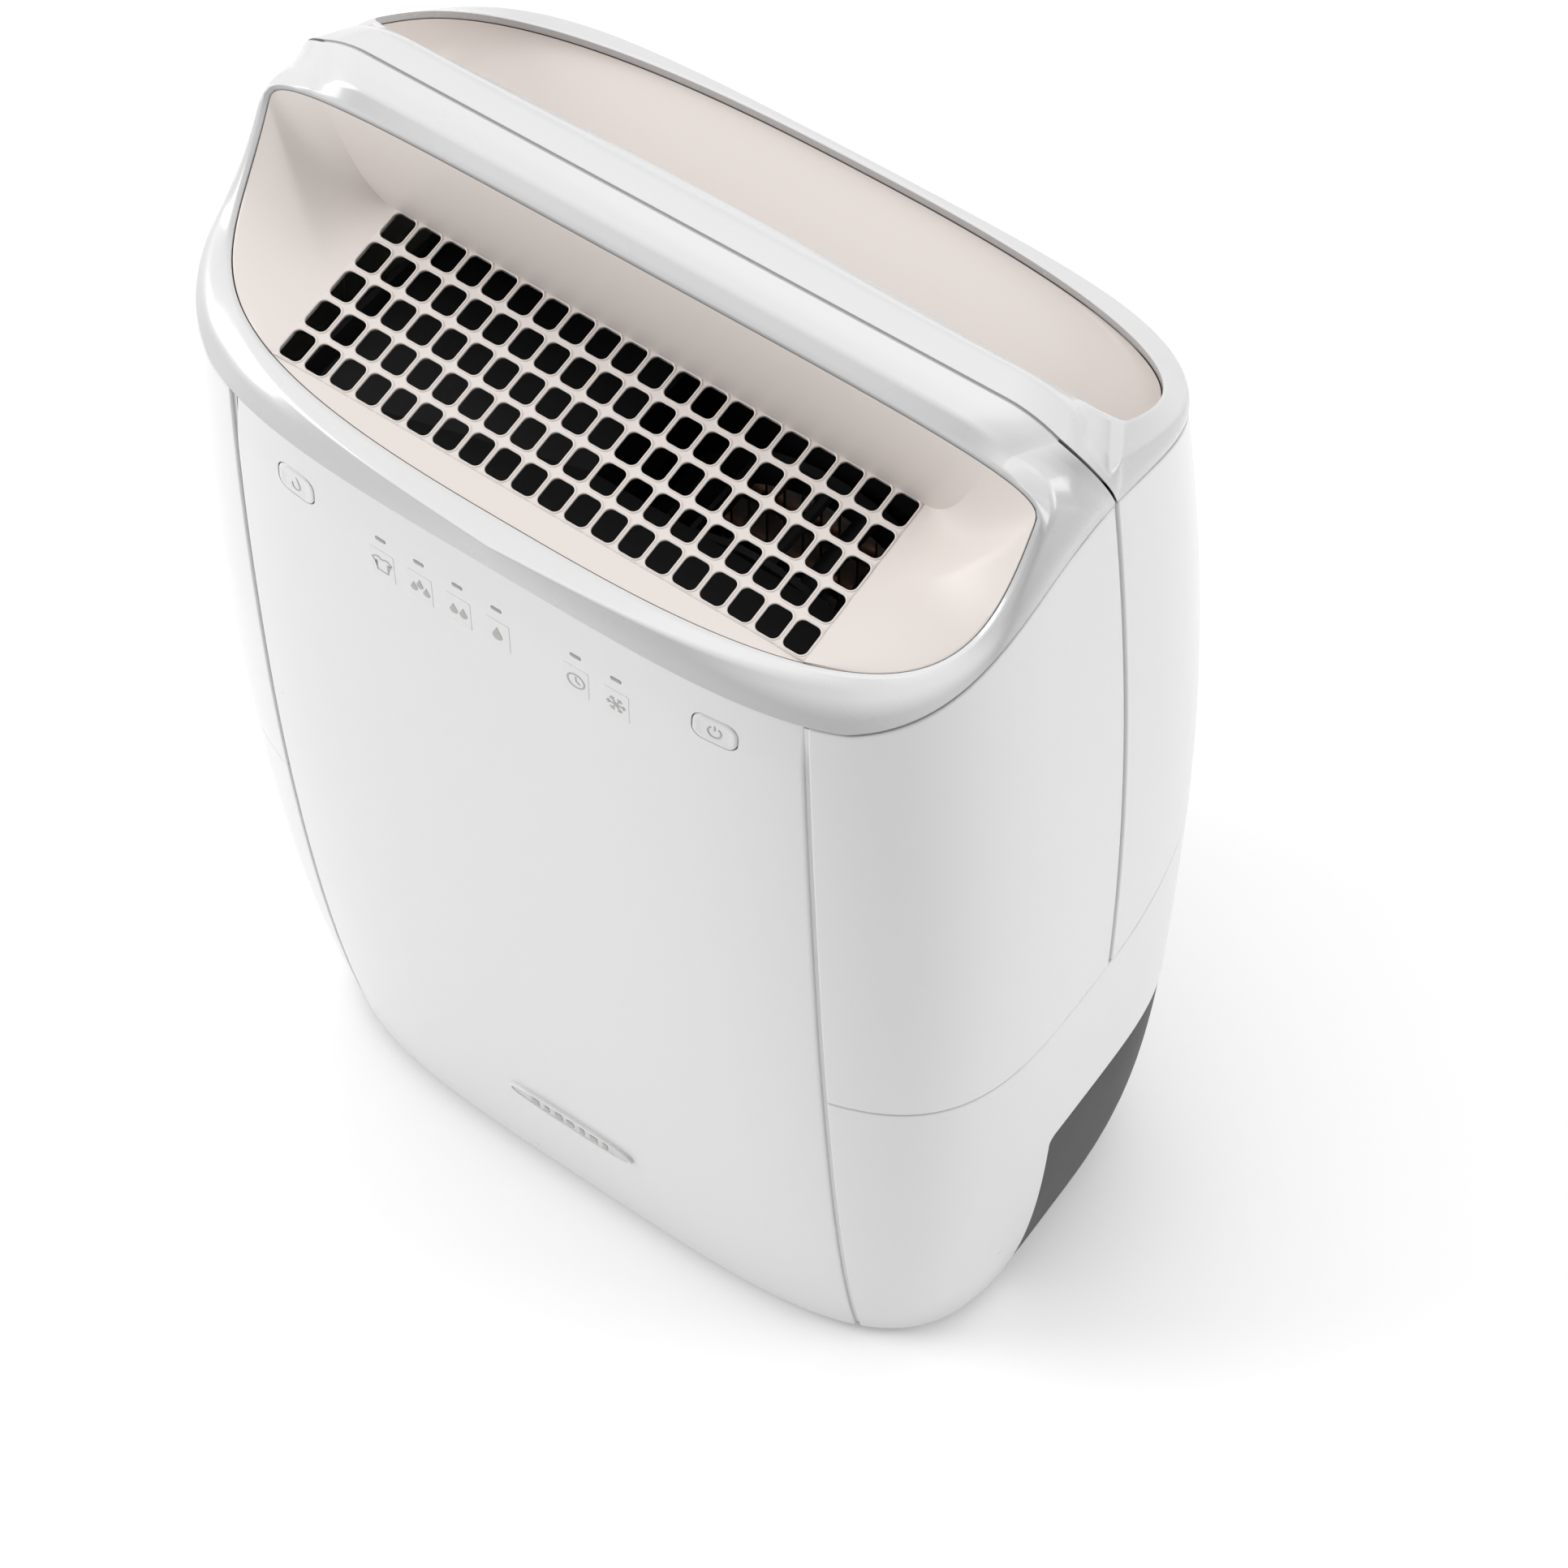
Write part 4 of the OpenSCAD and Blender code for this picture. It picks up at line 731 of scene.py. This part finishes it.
def bezel_stations():
    """Outer edge and cream seam of the outlet bezel for x >= 0, and how far along the bar."""
    t = [-math.pi / 2, math.radians(-35), float(angle_at_y(-12, RING_Z)),
         float(angle_at_y(PART_Y - SEAM_HALF, RING_Z))]
    f = np.radians([-90, -33, 12, 30])
    corner = math.acos((RIM_BEND_X / OPENING_X) ** (OPENING_BACK_N / 2))
    x = np.linspace(BEND_X, 0, STRIP_STEPS + 1)[1:]
    half = column(np.linspace(SEAM_HALF, BAR_HALF, FLANK_STEPS + 1)) * np.array([0, 1, 0])
    edge = [chained(top_edge, t, FRONT_STEPS),
            (seam_curve(FLANK_STEPS)[::-1] - half)[1:],
            np.stack([x, x * 0 + GROOVE_Y - BAR_HALF, bar_z(x)], axis=-1)]
    seam = [chained(opening_point, f, FRONT_STEPS),
            even(opening_point, f[-1], corner, FLANK_STEPS)[1:],
            opening_point(np.arccos((x * RIM_BEND_X / BEND_X / OPENING_X) ** (OPENING_BACK_N / 2)))]
    edge = np.concatenate(edge)
    bar = ease((np.arange(len(edge)) - FRONT_COUNT + 4) / (FLANK_STEPS + 4))
    return edge, np.concatenate(seam), bar


def outlet_bezel():
    edge, seam, bar = bezel_stations()
    turn = np.clip(np.abs(edge[:, 0]) / 135, 0, 1)
    crest = seam + outward(seam) * column(lerp(lerp(BROW_OUT, FLANK_OUT, turn), BAR_OUT, bar))
    crest_z = lerp(lerp(edge[:, 2] + BROW_RISE, seam[:, 2] - FLANK_DROP, ease(turn)),
                   edge[:, 2] - BAR_DROP, bar)
    crest = at_height(crest, crest_z)
    crest = at_height(crest, above_chord(crest, edge, seam, 1.4))
    # From the flank to the bar the crest follows one smooth curve of its own
    first, last = FRONT_COUNT - 17, FRONT_COUNT + FLANK_STEPS
    crest[first:last + 1] = bezier(crest[first], crest[first] + np.array([2.0, 9.0, 8.0]),
                                   crest[last] + np.array([14.0, 2.5, -0.5]), crest[last],
                                   last - first)
    face = np.linalg.norm(crest - edge, axis=1)
    belly = bulged(edge, crest, lerp(lerp(0.2, 0.1 * face, turn), 0.5, bar))
    ridge = toward(seam, crest, column(lerp(1.7, 1.0, bar)))
    ridge = at_height(ridge, seam[:, 2] + lerp(0.4, 1.2, bar))
    low = seam - 2.6 * UP
    crest_in = toward(crest, seam, WALL) - 3.0 * UP
    crest_in[:, 2] = np.minimum(crest_in[:, 2], low[:, 2] - 0.6)
    edge_in = toward(edge, seam, WALL) - column(5 * bar) * UP
    edge_in[:, 2] = np.minimum(edge_in[:, 2], crest_in[:, 2] - 0.4 * (1 - bar))
    points = np.stack([edge, belly, crest, ridge, seam, low, crest_in, edge_in], axis=1)
    radii = spread_radii(0.5, BELLY_R, lerp(lerp(1.0, 2.0, turn), 1.2, bar), 0.6, 0.35, 0.1, 0.1,
                         0.1)
    ride(tube_of_sections("outlet_bezel_skin", mirrored(rounded(points, radii))), "housing",
         "bezel_shell", "outlet_bezel")


def spread_radii(*radii):
    """Radii of a section's corners at every station, each a number or an array over them."""
    return np.stack(np.broadcast_arrays(*radii), axis=1)


def mirrored(sections):
    """All round a ring from its half at x >= 0: sections is (station, point, xyz)."""
    other = sections[-2:0:-1] * np.array([-1, 1, 1])
    return np.concatenate([sections, other])


def handle_stations():
    """Outer edge and cream seam of the handle frame for x >= 0, and how far along the bar."""
    x = np.linspace(0, BEND_X, STRIP_STEPS + 1)
    start = float(angle_at_y(PART_Y + SEAM_HALF, RING_Z))
    bend = -math.acos((RIM_BEND_X / SCOOP_X) ** (SCOOP_FRONT_N / 2))
    join = math.radians(-5)
    half = column(np.linspace(BAR_HALF, SEAM_HALF, FLANK_STEPS + 1)) * np.array([0, 1, 0])
    edge = [np.stack([x, x * 0 + GROOVE_Y + BAR_HALF, bar_z(x)], axis=-1),
            (seam_curve(FLANK_STEPS) + half)[1:],
            even(top_edge, start, math.pi / 2, RING_STEPS)[1:]]
    seam = [scoop_point(-np.arccos((x * RIM_BEND_X / BEND_X / SCOOP_X) ** (SCOOP_FRONT_N / 2))),
            even(scoop_point, bend, join, FLANK_STEPS)[1:],
            even(scoop_point, join, math.pi / 2, RING_STEPS)[1:]]
    edge = np.concatenate(edge)
    bar = 1 - ease((np.arange(len(edge)) - STRIP_STEPS) / FLANK_STEPS)
    return edge, np.concatenate(seam), bar


def handle_frame():
    edge, seam, bar = handle_stations()
    crest = edge + (seam - edge) * column(lerp(0.1, 0.52, bar))
    crest = at_height(crest, lerp(seam[:, 2] - 1.0, edge[:, 2] - 1.6, bar))
    crest = at_height(crest, above_chord(crest, edge, seam, 0.8))
    belly = bulged(edge, crest, lerp(0.8, 0.3, bar))
    ridge = toward(seam, crest, column(lerp(1.8, 2.2, bar)))
    ridge = at_height(ridge, lerp(seam[:, 2] + 0.2, seam[:, 2] + 3.2, bar))
    low = seam - column(lerp(3.2, BAR_SKIRT, bar)) * UP
    crest_in = toward(crest, seam, 2.6) - column(lerp(4.0, BAR_SKIRT + 1, bar)) * UP
    edge_in = toward(edge, seam, WALL) - column((BAR_SKIRT - 1) * bar) * UP
    crest_in[:, 2] = np.maximum(crest_in[:, 2], edge_in[:, 2] + 0.3 * (1 - bar))
    points = np.stack([edge, belly, crest, ridge, seam, low, crest_in, edge_in], axis=1)
    radii = spread_radii(0.5, BELLY_R, lerp(1.6, 9.0, bar) + 10 * bar * (1 - bar),
                         lerp(0.6, 3.0, bar), 0.5, 0.2, 0.1, 0.1)
    ride(tube_of_sections("handle_frame_skin", mirrored(rounded(points, radii))), "housing",
         "bezel_shell", "handle_frame")


# ---- Outlet tray and hand scoop ----

def tray_floor_z(y):
    return GRILLE_Z + (y - GRILLE_Y) * math.tan(GRILLE_TILT)


def grid_point(u, v, h=0.0):
    """Point of the grille's face: u across, v up the slope, h above it."""
    u, v, h = np.broadcast_arrays(u, v, h)
    c, s = math.cos(GRILLE_TILT), math.sin(GRILLE_TILT)
    return np.stack([u, GRILLE_Y + v * c - h * s, GRILLE_Z + v * s + h * c], axis=-1)


GRID_HALF_U = GRILLE_COLS * GRILLE_PITCH_X / 2
GRID_HALF_V = GRILLE_ROWS * GRILLE_PITCH_Y / 2


def outlet_tray():
    """The cream funnel: curved walls from the rim down to the border of the grille."""
    f = np.radians(np.linspace(-90, 270, 481))[:-1]
    rim = opening_point(f, out=-0.35) - 0.25 * UP
    curl, wall = 2.1, 2.6
    c, s = np.cos(f), np.sin(f)
    e = 2 / np.where(s < 0, OPENING_FRONT_N, OPENING_BACK_N)
    u, v = power(c, e), power(s, e)
    m = np.maximum(np.abs(u), np.abs(v))
    border = grid_point(GRID_HALF_U * u / m, GRID_HALF_V * v / m)
    rise = rim[:, 2] - tray_floor_z(rim[:, 1])
    loops = []
    for k in np.linspace(0, 1, 25) ** 0.8:
        p = border + (rim - border) * k
        loops.append(at_height(p, tray_floor_z(p[:, 1]) + rise * k ** curl))
    top = loops[-1]
    loops[-1] = top - 0.3 * UP
    loops.insert(-1, top + (border - top) * 0.004)
    under = [top - 3.0 * UP]
    for k in (0.85, 0.6, 0.3, 0.0):
        p = border + (top - border) * k
        under.append(at_height(p, tray_floor_z(p[:, 1]) + rise * k ** curl - wall))
    sections = np.stack(loops + under, axis=1)
    ride(tube_of_sections("outlet_tray", sections, sharp=60), "housing", "cream_inner",
         "outlet_funnel")


def outlet_grid():
    """The grille: rounded holes in a plate, each with a small raised bead round its mouth."""
    steps = 6

    def grown(d):
        return rounded_rect(GRILLE_PITCH_X - GRILLE_BAR_X + 2 * d,
                            GRILLE_PITCH_Y - GRILLE_BAR_Y + 2 * d, GRILLE_HOLE_R + d, steps)

    hole = grown(0.0)
    quarter = np.array([GRILLE_PITCH_X / 2, GRILLE_PITCH_Y / 2])
    edge = hole * column((quarter / np.abs(hole)).min(axis=1))
    middle = np.arange(len(hole)) % (steps + 1) == steps // 2
    edge[middle] = np.sign(hole[middle]) * quarter

    rings = [(edge, 0.0), (grown(0.72), 0.02), (grown(0.5), 0.34), (grown(0.24), 0.36),
             (grown(0.02), 0.14), (hole, -0.1), (grown(0.62), -GRILLE_DEEP),
             (edge, -GRILLE_DEEP)]
    verts, faces, start = [], [], 0
    for i in range(GRILLE_COLS):
        for j in range(GRILLE_ROWS):
            cu = (i + 0.5) * GRILLE_PITCH_X - GRID_HALF_U
            cv = (j + 0.5) * GRILLE_PITCH_Y - GRID_HALF_V
            for outline, h in rings:
                verts.append(grid_point(cu + outline[:, 0], cv + outline[:, 1], h))
            faces += grid_faces(len(rings), len(hole), start, wrap=True)
            start += len(rings) * len(hole)
    obj = build("outlet_grid", np.concatenate(verts), faces, sharp=50)
    bm = bmesh.new()
    bm.from_mesh(obj.data)
    bmesh.ops.bridge_loops(bm, edges=[e for e in bm.edges if e.is_boundary])
    bmesh.ops.recalc_face_normals(bm, faces=bm.faces)
    bm.to_mesh(obj.data)
    bm.free()
    ride(obj, "housing", "cream_inner", "outlet_grille")


def rear_scoop():
    """The hand scoop: a bowl that hangs from its rim, with a thin wall under it."""
    f = np.radians(np.linspace(-90, 270, 361))[:-1]
    x_at = np.abs(scoop_point(f)[:, 0])
    on_bar = np.where(np.sin(f) < 0, 1 - ease((x_at - 118) / 22), 0)
    top = scoop_point(f, out=-0.4) - column(lerp(3.4, BAR_SKIRT + 0.4, on_bar)) * UP
    middle_y = SCOOP_Y + 22
    a = np.arctan2((top[:, 1] - middle_y) / 40, top[:, 0] / SCOOP_X)
    floor = np.stack([118 * power(np.cos(a), 0.7), 27 + 24 * power(np.sin(a), 0.7),
                      np.full(len(a), SCOOP_FLOOR_Z)], axis=-1)

    def inside(k, out=0.0, down=0.0):
        p = top + (floor - top) * k ** 2
        p = at_height(p, top[:, 2] + (SCOOP_FLOOR_Z - top[:, 2]) * (1 - (1 - k) ** 1.7) - down)
        reach = np.where(p[:, 1] < middle_y, middle_y - BAR_BACK_Y, SCOOP_Y + SCOOP_BACK - middle_y)
        p[:, 0] *= 1 + out / SCOOP_X
        p[:, 1] += out * (p[:, 1] - middle_y) / reach
        return p

    loops = [inside(k) for k in np.linspace(0, 1, 26)]
    centre = loops[-1].mean(axis=0)
    loops += [centre + (loops[-1] - centre) * k for k in (0.8, 0.5, 0.2)]
    under = [inside(k, 0.3 + 2 * k, 0.6 + 1.6 * k) for k in (1, 0.75, 0.5, 0.3, 0.15, 0)]
    ride(merged("rear_scoop_skin", [under + loops], sharp=60), "housing", "cream_inner",
         "rear_scoop")


# ---- Controls ----

STEM_FRONT_Y, STEM_BACK_Y = -99.0, -95.9


def on_panel(x0, z0, outline, d):
    """Outline round (x0, z0) on the front panel, at depth d under its face."""
    return panel(x0 + outline[:, 0], z0 + outline[:, 1], d)


def cushion(x0, z0, w, h, r, low, high, edge, dish=0.0):
    """A rounded plate on the front panel from depth low to depth high, edges rounded by edge."""
    loops = []
    for inset, d in [(0, low), (0, high + edge), (edge * 0.3, high + edge * 0.3), (edge, high),
                     (edge + 1.2, high + dish * 0.5), (edge + 2.6, high + dish)]:
        loops.append(on_panel(x0, z0, rounded_rect(w - 2 * inset, h - 2 * inset,
                                                   max(r - inset, 0.2)), d))
    return loops


def stroke(points, width):
    """Outline of a line of even width through points."""
    p = np.asarray(points, float)
    d = np.gradient(p, axis=0)
    d /= np.linalg.norm(d, axis=1, keepdims=True)
    side = np.stack([-d[:, 1], d[:, 0]], axis=1) * width / 2
    return np.concatenate([p + side, (p - side)[::-1]])


def arc(x, y, r, a0, a1, steps=24):
    a = np.radians(np.linspace(a0, a1, steps))
    return np.stack([x + r * np.cos(a), y + r * np.sin(a)], axis=1)


def drop(x, y, size):
    """Outline of a water drop."""
    a = np.radians(np.linspace(-200, 20, 18))
    round_part = np.stack([x + size * np.cos(a), y + size * np.sin(a)], axis=1)
    return np.concatenate([round_part, [[x, y + 2.3 * size]]])


def raised(x0, z0, outline, low=0.05, high=-0.12):
    """A thin flat print on the front panel from depth low to depth high."""
    return [on_panel(x0, z0, outline, d) for d in (low, high)]


def buttons():
    """The two keys, each a dished cap with a stem to its switch and a printed mark."""
    for side, name, node in ((-1, "mode_key", "mode_button"), (1, "power_key", "power_button")):
        x = side * BUTTON_X
        cap = cushion(x, BUTTON_Z, BUTTON_W, BUTTON_H, BUTTON_R, 2.6, -0.35, 0.9, dish=0.35)
        square = rounded_rect(4, 4, 0.6, 3)
        stem = [np.stack([x + square[:, 0], np.full(len(square), y), BUTTON_Z + square[:, 1]],
                         axis=-1) for y in (STEM_FRONT_Y, STEM_BACK_Y)]
        ride(merged(name + "_cap", [cap, stem]), name, "white_button", node)
    power_arc = stroke(arc(0, -0.2, 2.3, 125, 415), 0.5)
    power_bar = stroke([[0, 0.5], [0, 1.6], [0, 2.9]], 0.5)
    marks = [raised(BUTTON_X, BUTTON_Z, o) for o in (power_arc, power_bar)]
    ride(merged("power_mark", marks), "power_key", "icon_print")
    marks = [raised(-BUTTON_X, BUTTON_Z, stroke(drop(0, -0.9, 1.7), 0.45))]
    ride(merged("mode_mark", marks), "mode_key", "icon_print")


def lamps():
    lenses = [cushion(x, BUTTON_Z, LAMP_W, LAMP_H, LAMP_R, 10, -0.12, 0.25)[:4] for x in LAMP_XS]
    ride(merged("lamp_lenses", lenses), "housing", "lamp_lens", "light_pipes")


def icon_outlines():
    """Outlines of the printed icons, one list for each lamp, centred on its tile."""
    shirt = np.array([[-1.2, 3.2], [-2.2, 3.2], [-4.0, 1.8], [-3.1, 0.4], [-2.2, 1.1], [-2.2, -3.4],
                      [2.2, -3.4], [2.2, 1.1], [3.1, 0.4], [4.0, 1.8], [2.2, 3.2], [1.2, 3.2],
                      [0.6, 2.5], [-0.6, 2.5]])
    flake = []
    for k in range(3):
        a = math.radians(60 * k)
        v = np.array([math.cos(a), math.sin(a)])
        flake.append(stroke([-3.6 * v, 0 * v, 3.6 * v], 0.55))
        for end in (-1, 1):
            tip = end * 2.3 * v
            for turn in (-50, 50):
                b = a + math.radians(turn)
                w = end * np.array([math.cos(b), math.sin(b)])
                flake.append(stroke([tip, tip + 0.6 * w, tip + 1.2 * w], 0.45))
    dial = [stroke(arc(0, 0, 3.2, 0, 359, 40), 0.6), stroke([[0, 0], [0, 1.1], [0, 2.2]], 0.55),
            stroke([[0, 0], [0.8, -0.5], [1.6, -1.0]], 0.55)]
    shirt = stroke(np.concatenate([shirt, shirt[:1]]), 0.5)
    return [[shirt], [drop(-2.5, -1.4, 1.3), drop(2.5, -1.4, 1.3), drop(0, 1.0, 1.3)],
            [drop(-1.9, -0.8, 1.5), drop(1.9, -0.8, 1.5)], [drop(0, -0.8, 1.9)], dial, flake]


def icons():
    z = BUTTON_Z - TILE_DROP
    tiles = [cushion(x, z, TILE_W, TILE_H, 0.8, 0.05, -0.16, 0.12)[:4] for x in LAMP_XS]
    ride(merged("icon_tiles", tiles), "housing", "white_button", "icon_plates")
    marks = [raised(x, z, o, -0.1, -0.26) for x, outlines in zip(LAMP_XS, icon_outlines())
             for o in outlines]
    ride(merged("icon_marks", marks), "housing", "icon_print")


def oval(across, up):
    """Outline of an oval, slightly fuller than an ellipse, from its two half sizes."""
    a = np.radians(np.linspace(0, 360, 97))[:-1]
    fullness = 2 / 2.6
    return np.stack([across * power(np.cos(a), fullness), up * power(np.sin(a), fullness)], axis=1)


def badge():
    """Oval badge with a raised border and plain bars in relief, no lettering."""
    def ring(inset, d):
        return on_panel(0, BADGE_Z, oval(BADGE_HALF_W - inset, BADGE_HALF_H - inset), d)

    border = [ring(*step) for step in ((0, 0.05), (0, -1.0), (0.15, -1.35), (0.5, -1.55),
                                       (1.0, -1.55), (1.3, -1.35), (1.4, -1.0))]
    ride(merged("badge_border", [border]), "housing", "white_shell", "badge")
    inside = [ring(1.45, -0.7), ring(1.45, -1.1), ring(1.6, -1.16)]
    ride(merged("badge_inlay", [inside]), "housing", "badge_gloss")
    bars = []
    for k, w in enumerate((3.4, 2.2, 3.4, 3.4, 2.2, 3.4, 2.2)):
        x = (k - 3) * 5.6
        bars.append([on_panel(x, BADGE_Z, rounded_rect(w, 4.4 if k % 2 else 5.2, 0.7, 3), d)
                     for d in (-1.1, -1.32)])
    ride(merged("badge_relief", bars), "housing", "icon_print")


# ---- Water tank ----

TANK_WALL, TANK_GAP = 2.6, 0.2
TANK_RIM_Z = TANK_TOP_Z - 0.7
GRIP_HALF, GRIP_DEPTH, GRIP_LOW, GRIP_HIGH = 46.0, 15.0, 56.0, 100.0
TANK_CORNER = 4.0


def grip(x, z):
    """Depth of the finger recess in the back of the tank."""
    tall = ease((z - GRIP_LOW) / 14) * ease((GRIP_HIGH - z) / 5)
    return GRIP_DEPTH * tall * ease((1 - np.abs(x) / GRIP_HALF) * 3)


def tank_loop(z, d):
    """Outline of the tank at height z, inset by d, with a flat front and the grip in its back."""
    over = max(0.0, z - (TANK_RIM_Z - TANK_CORNER))
    y0 = TANK_FRONT_Y + 0.6 + d + TANK_CORNER - math.sqrt(max(0, TANK_CORNER ** 2 - over ** 2))
    inset = d + TANK_GAP
    a0 = float(angle_at_y(y0, z, inset))
    near_grip = back_angle(np.linspace(GRIP_HALF + 10, 0, 41), z, inset)
    t = np.concatenate([np.linspace(a0, near_grip[0], 60)[:-1], near_grip])
    p = form(t, z, inset)
    p[:, 1] -= grip(p[:, 0], z)
    left = p[-2::-1] * np.array([-1, 1, 1])
    front_x = np.linspace(-p[0, 0], p[0, 0], 31)[1:-1]
    front = np.stack([front_x, front_x * 0 + y0, front_x * 0 + z], axis=-1)
    return np.concatenate([p, left, front])


def water_tank():
    """An open tank: rounded foot, outer wall, rim, inner wall and floor in one shell."""
    zs = np.concatenate([[14, 20, 30, 45], np.arange(52, 74, 1.5), [80, 87, 93],
                         np.arange(94.5, 102, 0.75), [108, 116, 119, 120.3, 121.5, 122.5, 123.2]])
    outer = [tank_loop(z, d) for z, d in [(TANK_FLOOR_Z, 4.4), (9.7, 3.2), (10.4, 1.9), (11.6, 0.8),
                                          (13, 0.15)]]
    outer += [tank_loop(z, 0) for z in zs]
    rim = [tank_loop(TANK_RIM_Z - 0.15, 0.15), tank_loop(TANK_RIM_Z, 0.6),
           tank_loop(TANK_RIM_Z, TANK_WALL - 0.5), tank_loop(TANK_RIM_Z - 0.3, TANK_WALL)]
    inner = [tank_loop(z, TANK_WALL) for z in zs[::-1]]
    inner += [tank_loop(z, d) for z, d in [(TANK_FLOOR_Z + 3.6, 3.2), (TANK_FLOOR_Z + 3, 5)]]
    ride(merged("water_tank_shell", [outer + rim + inner], sharp=35), "tank", "smoke_plastic",
         "water_tank")


# ---- Rear intake ----

def intake_grille():
    """Curved frame with rounded bars that follow the rear face."""
    gap, border = 1.2, 7
    half, low, high = INTAKE_X - gap, INTAKE_LOW + gap, INTAKE_HIGH - gap

    def back(x, z, d):
        x, z = np.broadcast_arrays(np.asarray(x, float), np.asarray(z, float))
        return np.stack([x, rear_face_y(x, z, d), z], axis=-1)

    outline = rounded_rect(2 * half, high - low, 8, 8)
    fine = []
    for p, q in zip(outline, np.roll(outline, -1, axis=0)):
        count = max(1, int(np.linalg.norm(q - p) / 5))
        fine += [lerp(p, q, k / count) for k in range(count)]
    fine = np.array(fine)
    mid = (low + high) / 2
    squeeze = np.array([(half - border) / half, (high - low - 2 * border) / (high - low)])
    sections = []
    for inset, d in ((0, 5.0), (0, 1.2), (0.12, 0.7), (0.9, 0.7), (1, 1.2), (1, 5.0)):
        p = fine * lerp(np.ones(2), squeeze, inset)
        sections.append(back(p[:, 0], mid + p[:, 1], d))
    sections = np.stack(sections, axis=1)
    ride(tube_of_sections("intake_frame", sections), "filter", "grille_plastic", "intake_grille")
    xs = np.linspace(-half + 6, half - 6, 61)
    profile = [(-1.1, 1.6), (-0.8, 1.1), (0.8, 1.1), (1.1, 1.6), (1.5, 4.2), (0.4, 4.2)]
    heights = [lerp(low + border, high - border, k / 24) for k in range(1, 24)]
    bars = [np.stack([back(xs, z + dz, d) for dz, d in profile], axis=1) for z in heights]
    zs = np.linspace(low + 6, high - 6, 41)
    rib = [(-1.2, 4.6), (-1.2, 2.4), (1.2, 2.4), (1.2, 4.6)]
    ribs = [np.stack([back(x + dx, zs, d) for dx, d in rib], axis=1) for x in (-52.0, 0.0, 52.0)]
    ride(merged("intake_bars", bars + ribs, sharp=50), "filter", "grille_plastic")


# ---- Materials on the CAD nodes that stay ----

def finish_cad_nodes():
    """Gives every kept CAD node the material of its slot."""
    slots = {part["node"]: part["material_slot"] for part in frame["record"]["subparts"]}
    for name, obj in frame["nodes"].items():
        if name not in slots:
            continue
        mat = material(slots[name])
        if not obj.data.materials:
            obj.data.materials.append(mat)
        for k in range(len(obj.material_slots)):
            obj.material_slots[k].material = mat


# ---- Camera, light and floor ----

CAMERA_AZ, CAMERA_EL, CAMERA_ROLL = np.radians([35.883, 56.301, -0.271])
CAMERA_PLACE = Vector((0.46435, -0.59613, 1.32082))
LENS, SENSOR = 85.03, 36.0
FLOOR_HALF = 12000.0


def floor():
    obj = build("floor", np.array([[-1, -1, 0], [1, -1, 0], [1, 1, 0], [-1, 1, 0]]) * FLOOR_HALF,
                [[0, 1, 2, 3]])
    obj.data.materials.append(glowing(surface("studio_floor", (0.93, 0.93, 0.93), 0.7, tint=0.995,
                                              mottle=2.0, specular=0.15), 0.14))


def camera():
    lens = bpy.data.cameras.new("camera")
    lens.lens, lens.sensor_width = LENS, SENSOR
    lens.clip_start, lens.clip_end = 0.05, 100
    obj = bpy.data.objects.new("camera", lens)
    bpy.context.scene.collection.objects.link(obj)
    az, el = CAMERA_AZ, CAMERA_EL
    back = Vector((math.sin(az) * math.cos(el), -math.cos(az) * math.cos(el), math.sin(el)))
    right = Vector((math.cos(az), math.sin(az), 0))
    axes = Matrix((right, back.cross(right), back)).transposed().to_4x4()
    axes @= Matrix.Rotation(CAMERA_ROLL, 4, "Z")
    axes.translation = CAMERA_PLACE
    obj.matrix_world = axes
    bpy.context.scene.camera = obj


def area_light(name, place, target, size, energy):
    data = bpy.data.lights.new(name, "AREA")
    data.shape, data.size, data.energy = "DISK", size, energy
    obj = bpy.data.objects.new(name, data)
    bpy.context.scene.collection.objects.link(obj)
    aim = (Vector(target) - Vector(place)).to_track_quat("-Z", "Y")
    obj.matrix_world = Matrix.Translation(place) @ aim.to_matrix().to_4x4()


def studio():
    """Soft light: a pale sky, dimmer behind the camera, and three large lamps."""
    world = bpy.data.worlds.new("studio")
    world.use_nodes = True
    tree = world.node_tree
    background = tree.nodes["Background"]
    background.inputs["Color"].default_value = (1, 1, 1, 1)
    place = add_node(tree, "TexCoord")
    split = add_node(tree, "SeparateXYZ")
    height = add_node(tree, "MapRange", From_Min=0.0, From_Max=0.9, To_Min=0.58, To_Max=0.9)
    corner = add_node(tree, "VectorMath")
    corner.operation = "DOT_PRODUCT"
    corner.inputs[1].default_value = (0.6, -0.8, 0.0)
    dim = add_node(tree, "MapRange", From_Min=0.0, From_Max=0.95, To_Min=1.0, To_Max=0.42)
    both = add_node(tree, "Math")
    both.operation = "MULTIPLY"
    link = tree.links.new
    link(place.outputs["Generated"], split.inputs["Vector"])
    link(split.outputs["Z"], height.inputs["Value"])
    link(place.outputs["Generated"], corner.inputs[0])
    link(corner.outputs["Value"], dim.inputs["Value"])
    link(height.outputs["Result"], both.inputs[0])
    link(dim.outputs["Result"], both.inputs[1])
    link(both.outputs["Value"], background.inputs["Strength"])
    bpy.context.scene.world = world
    area_light("key", (-2.3, -1.5, 1.7), (0, 0, 0.3), 1.5, 42)
    area_light("side", (2.3, 1.2, 1.4), (0, 0, 0.25), 1.4, 20)
    area_light("top", (-0.2, 0.6, 3.0), (0, 0, 0.3), 2.2, 13)
    bpy.context.scene.view_settings.view_transform = "Standard"


front_panel()
side_shell(1, "side_shell_right")
side_shell(-1, "side_shell_left")
rear_cover()
base_housing()
seam_backs()
bar_seam_back()
outlet_bezel()
handle_frame()
outlet_tray()
outlet_grid()
rear_scoop()
buttons()
lamps()
icons()
badge()
water_tank()
intake_grille()
finish_cad_nodes()
floor()
camera()
studio()
